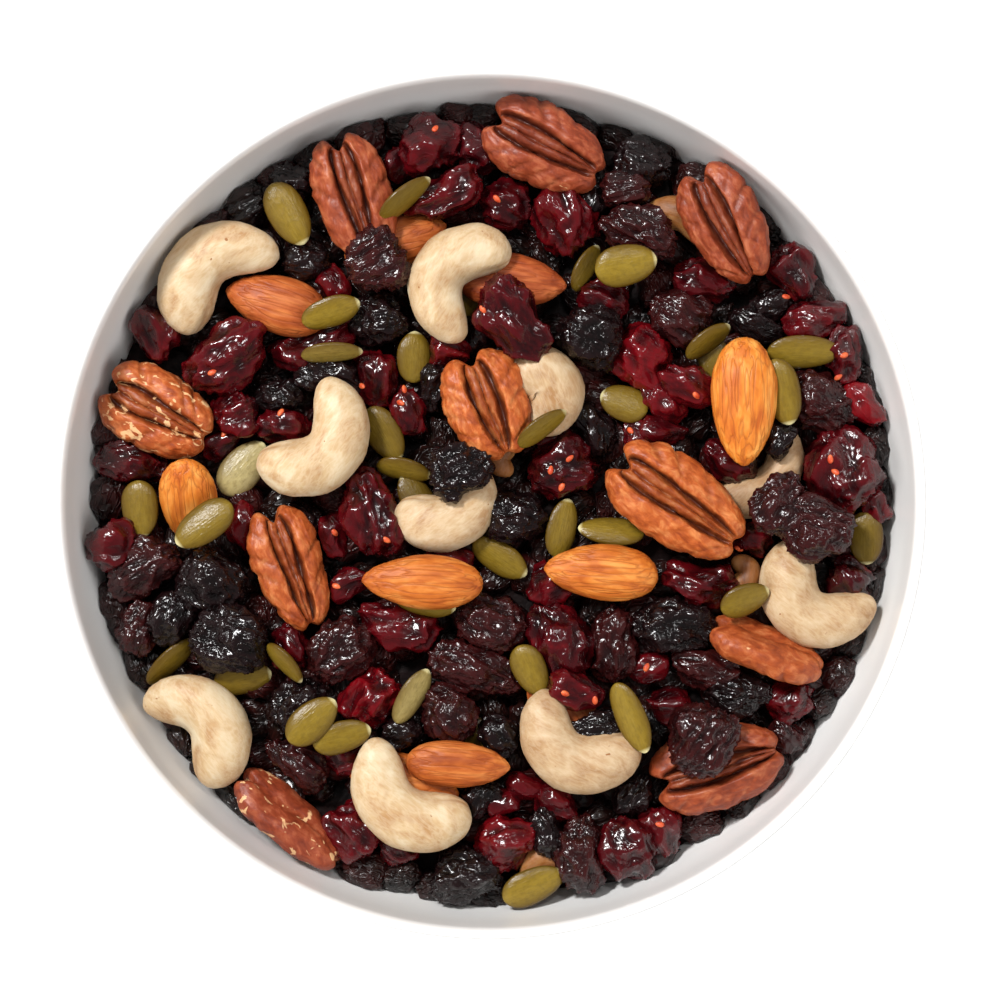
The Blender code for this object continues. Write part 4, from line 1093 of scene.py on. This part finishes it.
def pointCloud(name, rows):
    # one point for each row: its place, turn, size, which shape it takes, and tone
    mesh = bpy.data.meshes.new(name)
    mesh.vertices.add(len(rows))
    mesh.vertices.foreach_set("co", np.array([row["place"] for row in rows], dtype=np.float32).ravel())
    for key, kind, field, form in (
        ("turn", "FLOAT_VECTOR", "vector", np.float32), ("size", "FLOAT_VECTOR", "vector", np.float32),
        ("pick", "INT", "value", np.int32), ("tone", "FLOAT", "value", np.float32),
    ):
        made = mesh.attributes.new(key, kind, "POINT")
        made.data.foreach_set(field, np.array([row[key] for row in rows], dtype=form).ravel())
    piece = bpy.data.objects.new(name, mesh)
    scene.collection.objects.link(piece)
    return piece


def scatterShapes(name, shapes, rows, material):
    # one of the shapes on each row's point, all made one mesh
    group = bpy.data.collections.new(name + "Shapes")
    for shape in shapes:
        scene.collection.objects.unlink(shape)
        group.objects.link(shape)
    made = runTree(pointCloud(name, rows), scatter, {"Shapes": group, "Material": material})
    for shape in shapes:
        bpy.data.objects.remove(shape)
    bpy.data.collections.remove(group)
    return made


seedLook = {
    "rings": 22, "sides": 22, "ends": (0.5, 0.58), "thickness": 0.34, "shapes": 4, "seed": 40,
    "belly": (0.02, 0.06), "bow": 0.08, "endPower": 0.8, "rim": {"depth": 0.10, "place": 0.80, "width": 0.10},
    "patternSize": (13, 7.5, 2.6), "patternSpread": 300,
    # tone 0 is dark olive, 0.5 olive and 1 pale
    "columns": "layer x y length width turn roll tone",
    "rows": [
        (3, 288, 214, 14.0, 8.4, -62, 0, 0.5),
        (3, 405, 198, 13.0, 7.5, 38, 62, 0.5),
        (3, 626, 265, 12.8, 8.8, 12, 10, 0.62),
        (1, 586, 268, 10.5, 7.5, 62, 60, 0.5),
        (3, 331, 312, 12.5, 7.0, 20, 30, 0.6),
        (3, 332, 353, 12.6, 7.5, 4, 64, 0.7),
        (2, 414, 357, 10.6, 7.4, 88, 15, 0.45),
        (1, 384, 434, 12.5, 7.6, -60, 10, 0.35),
        (2, 404, 470, 11.5, 7.5, -12, 55, 0.5),
        (1, 416, 497, 10.5, 7.2, 120, 15, 0.1),
        (2, 243, 468, 13.4, 8.4, 50, 0, 0.95),
        (2, 140, 509, 11.8, 8.0, -86, 5, 0.45),
        (4, 204, 524, 13.8, 8.0, 216, 8, 0.45),
        (1, 171, 661, 13.2, 7.5, 46, 58, 0.5),
        (3, 285, 663, 10.4, 7.2, -50, 62, 0.5),
        (1, 243, 678, 12.0, 7.5, 10, 20, 0.4),
        (4, 312, 721, 12.6, 7.8, 42, 5, 0.55),
        (3, 342, 737, 12.2, 7.2, 16, 15, 0.5),
        (3, 412, 696, 12.8, 6.4, 60, 35, 0.8),
        (2, 500, 558, 13.0, 7.0, -32, 15, 0.5),
        (2, 562, 528, 12.4, 6.8, 78, 20, 0.5),
        (2, 611, 531, 13.6, 6.6, 174, 30, 0.55),
        (3, 542, 428, 12.0, 7.2, 36, 58, 0.6),
        (2, 624, 403, 10.2, 7.8, 160, 10, 0.45),
        (2, 708, 341, 11.0, 7.2, 38, 55, 0.5),
        (3, 804, 352, 15.2, 7.4, 0, 25, 0.55),
        (3, 782, 392, 13.8, 8.0, -76, 10, 0.5),
        (1, 716, 366, 12.0, 7.5, -80, 10, 0.4),
        (2, 866, 538, 11.0, 7.4, -88, 10, 0.3),
        (2, 745, 600, 10.6, 7.4, 22, 30, 0.5),
        (3, 631, 718, 15.4, 7.0, -66, 25, 0.6),
        (1, 530, 670, 11.0, 7.4, -65, 10, 0.5),
        (2, 533, 886, 13.4, 7.8, 24, 10, 0.65),
        (0, 482, 737, 10.0, 7.4, -30, 10, 0.15),
        (2, 425, 601, 13.0, 7.4, -12, 30, 0.5),
        (0, 468, 297, 10.0, 7.0, 60, 20, 0.3),
    ],
}


def makeSeeds(pieces):
    # a few seed shapes of unit size, put on the points
    look, rim, spread = seedLook, seedLook["rim"], seedLook["patternSpread"]
    shapes = []
    for number in range(look["shapes"]):
        draw = np.random.default_rng(look["seed"] + number)
        phase, belly = draw.uniform(0, 6), draw.uniform(*look["belly"])

        def shape(u, turn):
            around = tapered(u, look["ends"])
            edge = 1 - rim["depth"] * hollow(np.abs(np.cos(turn)) - rim["place"], rim["width"])
            y = around * np.cos(turn) / 2 * (1 + belly * np.sin(3 * u + phase))
            z = around ** look["endPower"] * np.sin(turn) / 2 * edge + look["bow"] * np.sin(2 * u + phase)
            return np.stack([u / 2, y, z], axis=-1), {"along": u, "edge": np.abs(np.cos(turn)) * np.ones_like(u)}

        skin = closedSkin(look["rings"], look["sides"], shape)
        skin["own"] = skin["points"] * np.array(look["patternSize"]) + draw.uniform(-spread, spread, 3)
        shapes.append(joinedMesh(f"seedShape{number}", [skin]))
    rows = []
    for number, piece in enumerate(pieces):
        x, y = fromPlan(piece["x"], piece["y"], piece["z"])
        turn = Euler((math.radians(piece["roll"]), 0, math.radians(piece["turn"])))
        rows.append({"place": (x, y, piece["z"]), "turn": turn, "size": piece["size"],
                     "pick": number % look["shapes"], "tone": piece["tone"]})
    return scatterShapes("pumpkinSeeds", shapes, rows, seedMaterial())


# raisins and cranberries that fill the gaps under what shows, on a loose grid and along the wall
deepLook = {
    "spacing": 8.5 * mm, "seed": 21, "reach": 74.5 * mm, "rings": 21, "sides": 22,
    "wallRing": 79.5 * mm, "wallPieces": 56, "wallLift": (-1.2 * mm, 1.6 * mm),
    "half": 4.2 * mm, "up": 3.8 * mm, "lift": (-2.2 * mm, 0.6 * mm),
    "rowShare": 0.87, "stray": 1.5, "scale": (0.85, 1.15), "tilt": (-0.5, 0.5), "spin": (0, 6.28),
    "wallSpread": (-0.3, 0.3), "wallStray": 1.0, "wallTilt": (-0.4, 0.4), "wallScale": (0.8, 1.1),
    "shapes": 6, "berries": 2, "berryTone": 0.5, "size": (11 * mm, 8 * mm, 7 * mm),
}


def deepFruitRows():
    look = deepLook
    draw = np.random.default_rng(look["seed"])
    rows = []

    def addRow(place, turn, scale, pick):
        tone = look["berryTone"] if pick < look["berries"] else 0.0
        rows.append({"place": place, "turn": turn, "size": (scale,) * 3, "pick": pick, "tone": tone})

    def tilted(key):
        return draw.uniform(*look[key]), draw.uniform(*look[key])

    stray, level = look["stray"], heapLook["restLevel"]
    span = int(look["reach"] / look["spacing"]) + 2
    for row in range(-span, span + 1):
        for column in range(-span, span + 1):
            x = (column + (row % 2) / 2) * look["spacing"] + draw.uniform(-stray, stray) * mm
            y = row * look["spacing"] * look["rowShare"] + draw.uniform(-stray, stray) * mm
            scale = draw.uniform(*look["scale"])
            turn = (*tilted("tilt"), draw.uniform(*look["spin"]))
            pick = int(draw.integers(0, look["shapes"]))
            lift = draw.uniform(*look["lift"])
            if math.hypot(x, y) <= look["reach"]:
                addRow((x, y, level + lift), turn, scale, pick)
    stray = look["wallStray"]
    for number in range(look["wallPieces"]):
        angle = 2 * math.pi * (number + draw.uniform(*look["wallSpread"])) / look["wallPieces"]
        away = look["wallRing"] + draw.uniform(-stray, stray) * mm
        pick = int(draw.integers(0, look["shapes"]))
        height = level + draw.uniform(*look["wallLift"])
        turn = (*tilted("wallTilt"), angle + math.pi / 2 + draw.uniform(*look["tilt"]))
        scale = draw.uniform(*look["wallScale"])
        addRow((away * math.cos(angle), away * math.sin(angle), height), turn, scale, pick)
    return rows


def makeDeepFruit(rows):
    draw = np.random.default_rng(deepLook["seed"] + 1)
    spread = heapLook["patternSpread"]
    shapes = []
    for number in range(deepLook["shapes"]):
        skin = fruitSkin({"size": deepLook["size"]}, deepLook, draw)
        skin["own"] = skin["points"] / mm + draw.uniform(-spread, spread, 3)
        look = cranberryLook if number < deepLook["berries"] else raisinLook
        shapes.append(foldPieces(f"deepShape{number}", [skin], look, deepFinish))
    return scatterShapes("deepFruit", shapes, rows, deepFinish)


# tiny seeds that show in the cranberries: plan places
berrySeedLook = {
    "colours": [(0.35, rgb(190, 58, 26)), (0.65, rgb(230, 112, 64))], "cloud": (900.0, 2.0),
    "sockets": {"Roughness": 0.45},
    "length": 1.9, "width": 1.2, "thickness": 0.9, "sunk": 0.35 * mm, "depth": 10 * mm, "above": 80 * mm,
    "rings": 10, "sides": 10, "ends": (0.5, 0.6), "seed": 12, "spin": (0, 6.28),
    "places": [
        (403, 388), (400, 402), (221, 433), (435, 127), (483, 310), (551, 470), (562, 487),
        (570, 458), (632, 430), (697, 395), (789, 295), (845, 355), (841, 376), (868, 355),
        (831, 459), (836, 472), (742, 549), (661, 827), (565, 693), (595, 700), (648, 669),
        (279, 412), (361, 385), (386, 540), (333, 533), (211, 372), (183, 358), (335, 587),
        (847, 597), (497, 197), (470, 208),
    ],
}


def makeBerrySeeds(carriers):
    # each lies on whatever fruit is uppermost at its place
    look = berrySeedLook
    trees = []
    for carrier in carriers:
        mesh = carrier.data
        verts = [vert.co for vert in mesh.vertices]
        trees.append(BVHTree.FromPolygons(verts, [tuple(face.vertices) for face in mesh.polygons]))
    draw = np.random.default_rng(look["seed"])
    size = [look[key] * mm for key in ("length", "width", "thickness")]

    def shape(u, turn):
        around = tapered(u, look["ends"])
        return np.stack([u / 2, around * np.cos(turn) / 2, around * np.sin(turn) / 2], axis=-1), {}

    skins = []
    for x, y in look["places"]:
        start = Vector((*fromPlan(x, y, plan["rimHeight"] - look["depth"]), look["above"]))
        hits = [tree.ray_cast(start, Vector((0, 0, -1))) for tree in trees]
        hits = [hit for hit in hits if hit[0] is not None]
        if not hits:
            continue
        top = max(hits, key=lambda hit: hit[0].z)
        normal = top[1] if top[1].z > 0 else -top[1]
        spin = Matrix.Rotation(draw.uniform(*look["spin"]), 3, "Z")
        face = np.array(Vector((0, 0, 1)).rotation_difference(normal).to_matrix() @ spin)
        skin = closedSkin(look["rings"], look["sides"], shape)
        skin["own"] = skin["points"]
        centre = top[0] + normal * (size[2] / 2 - look["sunk"])
        skin["points"] = (skin["points"] * np.array(size)) @ face.T + np.array(centre)
        skins.append(skin)
    return smoothPiece(joinedMesh("cranberrySeeds", skins), cloudyMaterial("berrySeedSkin", look))


deepFinish = fruitMaterial("deepFruitSkin")

makeBowl()
print("bowl made")
core = makeCore()
pieces = listPieces()
deepRows = deepFruitRows()
settle(pieces, deepRows)
byKind = {}
for number, piece in enumerate(pieces):
    byKind.setdefault(piece["kind"], []).append((number, piece))
print("pieces settled:", len(pieces))


def skinsOf(kind, shape, *more):
    return [layDown(shape(piece, *more), piece, number) for number, piece in byKind[kind]]


def pecanSkins():
    skins = []
    for number, piece in byKind["pecan"]:
        skin = layDown(pecanSkin(piece, np.random.default_rng(pecanLook["seed"] + number)), piece, number)
        skin["values"]["flakes"] = np.full(len(skin["points"]), piece["flakes"])
        skins.append(skin)
    return skins


cashews = foldPieces("cashews", skinsOf("cashew", cashewSkin), cashewLook, cashewMaterial())
almonds = foldPieces("almonds", skinsOf("almond", almondSkin), almondLook, almondMaterial())
pecans = foldPieces("pecanHalves", pecanSkins(), pecanLook, pecanMaterial())
print("nuts made")

draw = np.random.default_rng(heapLook["seed"])
fruits = {}
for kind, name, look, skinName in (
    ("black", "blackRaisins", raisinLook, "blackRaisinSkin"),
    ("brown", "brownRaisins", raisinLook, "brownRaisinSkin"),
    ("cranberry", "cranberries", cranberryLook, "cranberrySkin"),
):
    fruits[kind] = foldPieces(name, skinsOf(kind, fruitSkin, look, draw), look, fruitMaterial(skinName))
deepFruit = makeDeepFruit(deepRows)
pumpkinSeeds = makeSeeds([piece for number, piece in byKind["seed"]])
berrySeeds = makeBerrySeeds([fruits["cranberry"], fruits["brown"], fruits["black"]])
print("fruit and seeds made")


def keepInside(piece):
    # folds that would cross the bowl's wall lie flat against it
    mesh = piece.data
    points = np.empty(len(mesh.vertices) * 3, dtype=np.float32)
    mesh.vertices.foreach_get("co", points)
    points = points.reshape(-1, 3).astype(float)
    gap = heapLook["skinGap"]
    room = wallRadius(points[:, 2], innerWall[0] - gap, innerWall[1] + gap)
    share = np.minimum(1, room / np.maximum(np.hypot(points[:, 0], points[:, 1]), 1e-6))
    points[:, :2] *= share[:, None]
    mesh.vertices.foreach_set("co", points.astype(np.float32).ravel())
    mesh.update()


heap = [core, deepFruit, cashews, almonds, pecans, pumpkinSeeds, berrySeeds] + list(fruits.values())
for piece in heap:
    keepInside(piece)
    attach(piece, "root")
    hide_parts("trail_mix")
    print(piece.name, sum(len(face.vertices) - 2 for face in piece.data.polygons))

# floor, light and camera
studio = {
    "floor": {
        "half": 14, "colours": [(0.3, rgb(248, 248, 248)), (0.7, rgb(252, 252, 252))], "cloud": (3.0, 3.0),
        "sockets": {"Roughness": 0.8, "Emission Color": (1, 1, 1, 1), "Emission Strength": 0.55},
    },
    "aim": (0, 0, 0.05), "world": 0.18, "sensorWidth": 36,
    "lights": {
        # name: place, size across, power, whether it shows in shiny skins
        "window": ((-0.42, 0.44, 0.82), 0.16, 10.0, True),
        "leftFill": ((-0.70, -0.28, 0.50), 0.8, 4.5, False),
        "rightFill": ((0.60, -0.30, 0.60), 0.8, 4.5, False),
        "overhead": ((0.16, 0.42, 1.00), 0.16, 1.5, True),
    },
}
half = studio["floor"]["half"]
floorMesh = bpy.data.meshes.new("floor")
floorMesh.from_pydata([(-half, -half, 0), (half, -half, 0), (half, half, 0), (-half, half, 0)], [], [(0, 1, 2, 3)])
floor = bpy.data.objects.new("floor", floorMesh)
scene.collection.objects.link(floor)
floorMesh.materials.append(cloudyMaterial("paleFloor", studio["floor"]))
floor.visible_diffuse = False  # the bright floor would wash out the outside of the bowl

for name, (place, size, power, mirrored) in studio["lights"].items():
    data = bpy.data.lights.new(name, "AREA")
    data.shape = "SQUARE"
    data.size = size
    data.energy = power
    light = bpy.data.objects.new(name, data)
    light.location = place
    light.visible_glossy = mirrored
    light.rotation_euler = (Vector(studio["aim"]) - Vector(place)).to_track_quat("-Z", "Y").to_euler()
    scene.collection.objects.link(light)

world = bpy.data.worlds.new("softRoom")
world.use_nodes = True
sky = world.node_tree.nodes["Background"]
sky.inputs["Color"].default_value = (1, 1, 1, 1)
sky.inputs["Strength"].default_value = studio["world"]
scene.world = world

cameraData = bpy.data.cameras.new("camera")
cameraData.sensor_width = studio["sensorWidth"]
cameraData.lens = studio["sensorWidth"] * plan["eyeHeight"] / (plan["viewWidth"] * planUnit)
camera = bpy.data.objects.new("camera", cameraData)
camera.location = (eyeX, eyeY, plan["rimHeight"] + plan["eyeHeight"])
scene.collection.objects.link(camera)
scene.camera = camera
scene.view_settings.view_transform = "Standard"
scene.view_settings.look = "None"
print("floor, light and camera set")
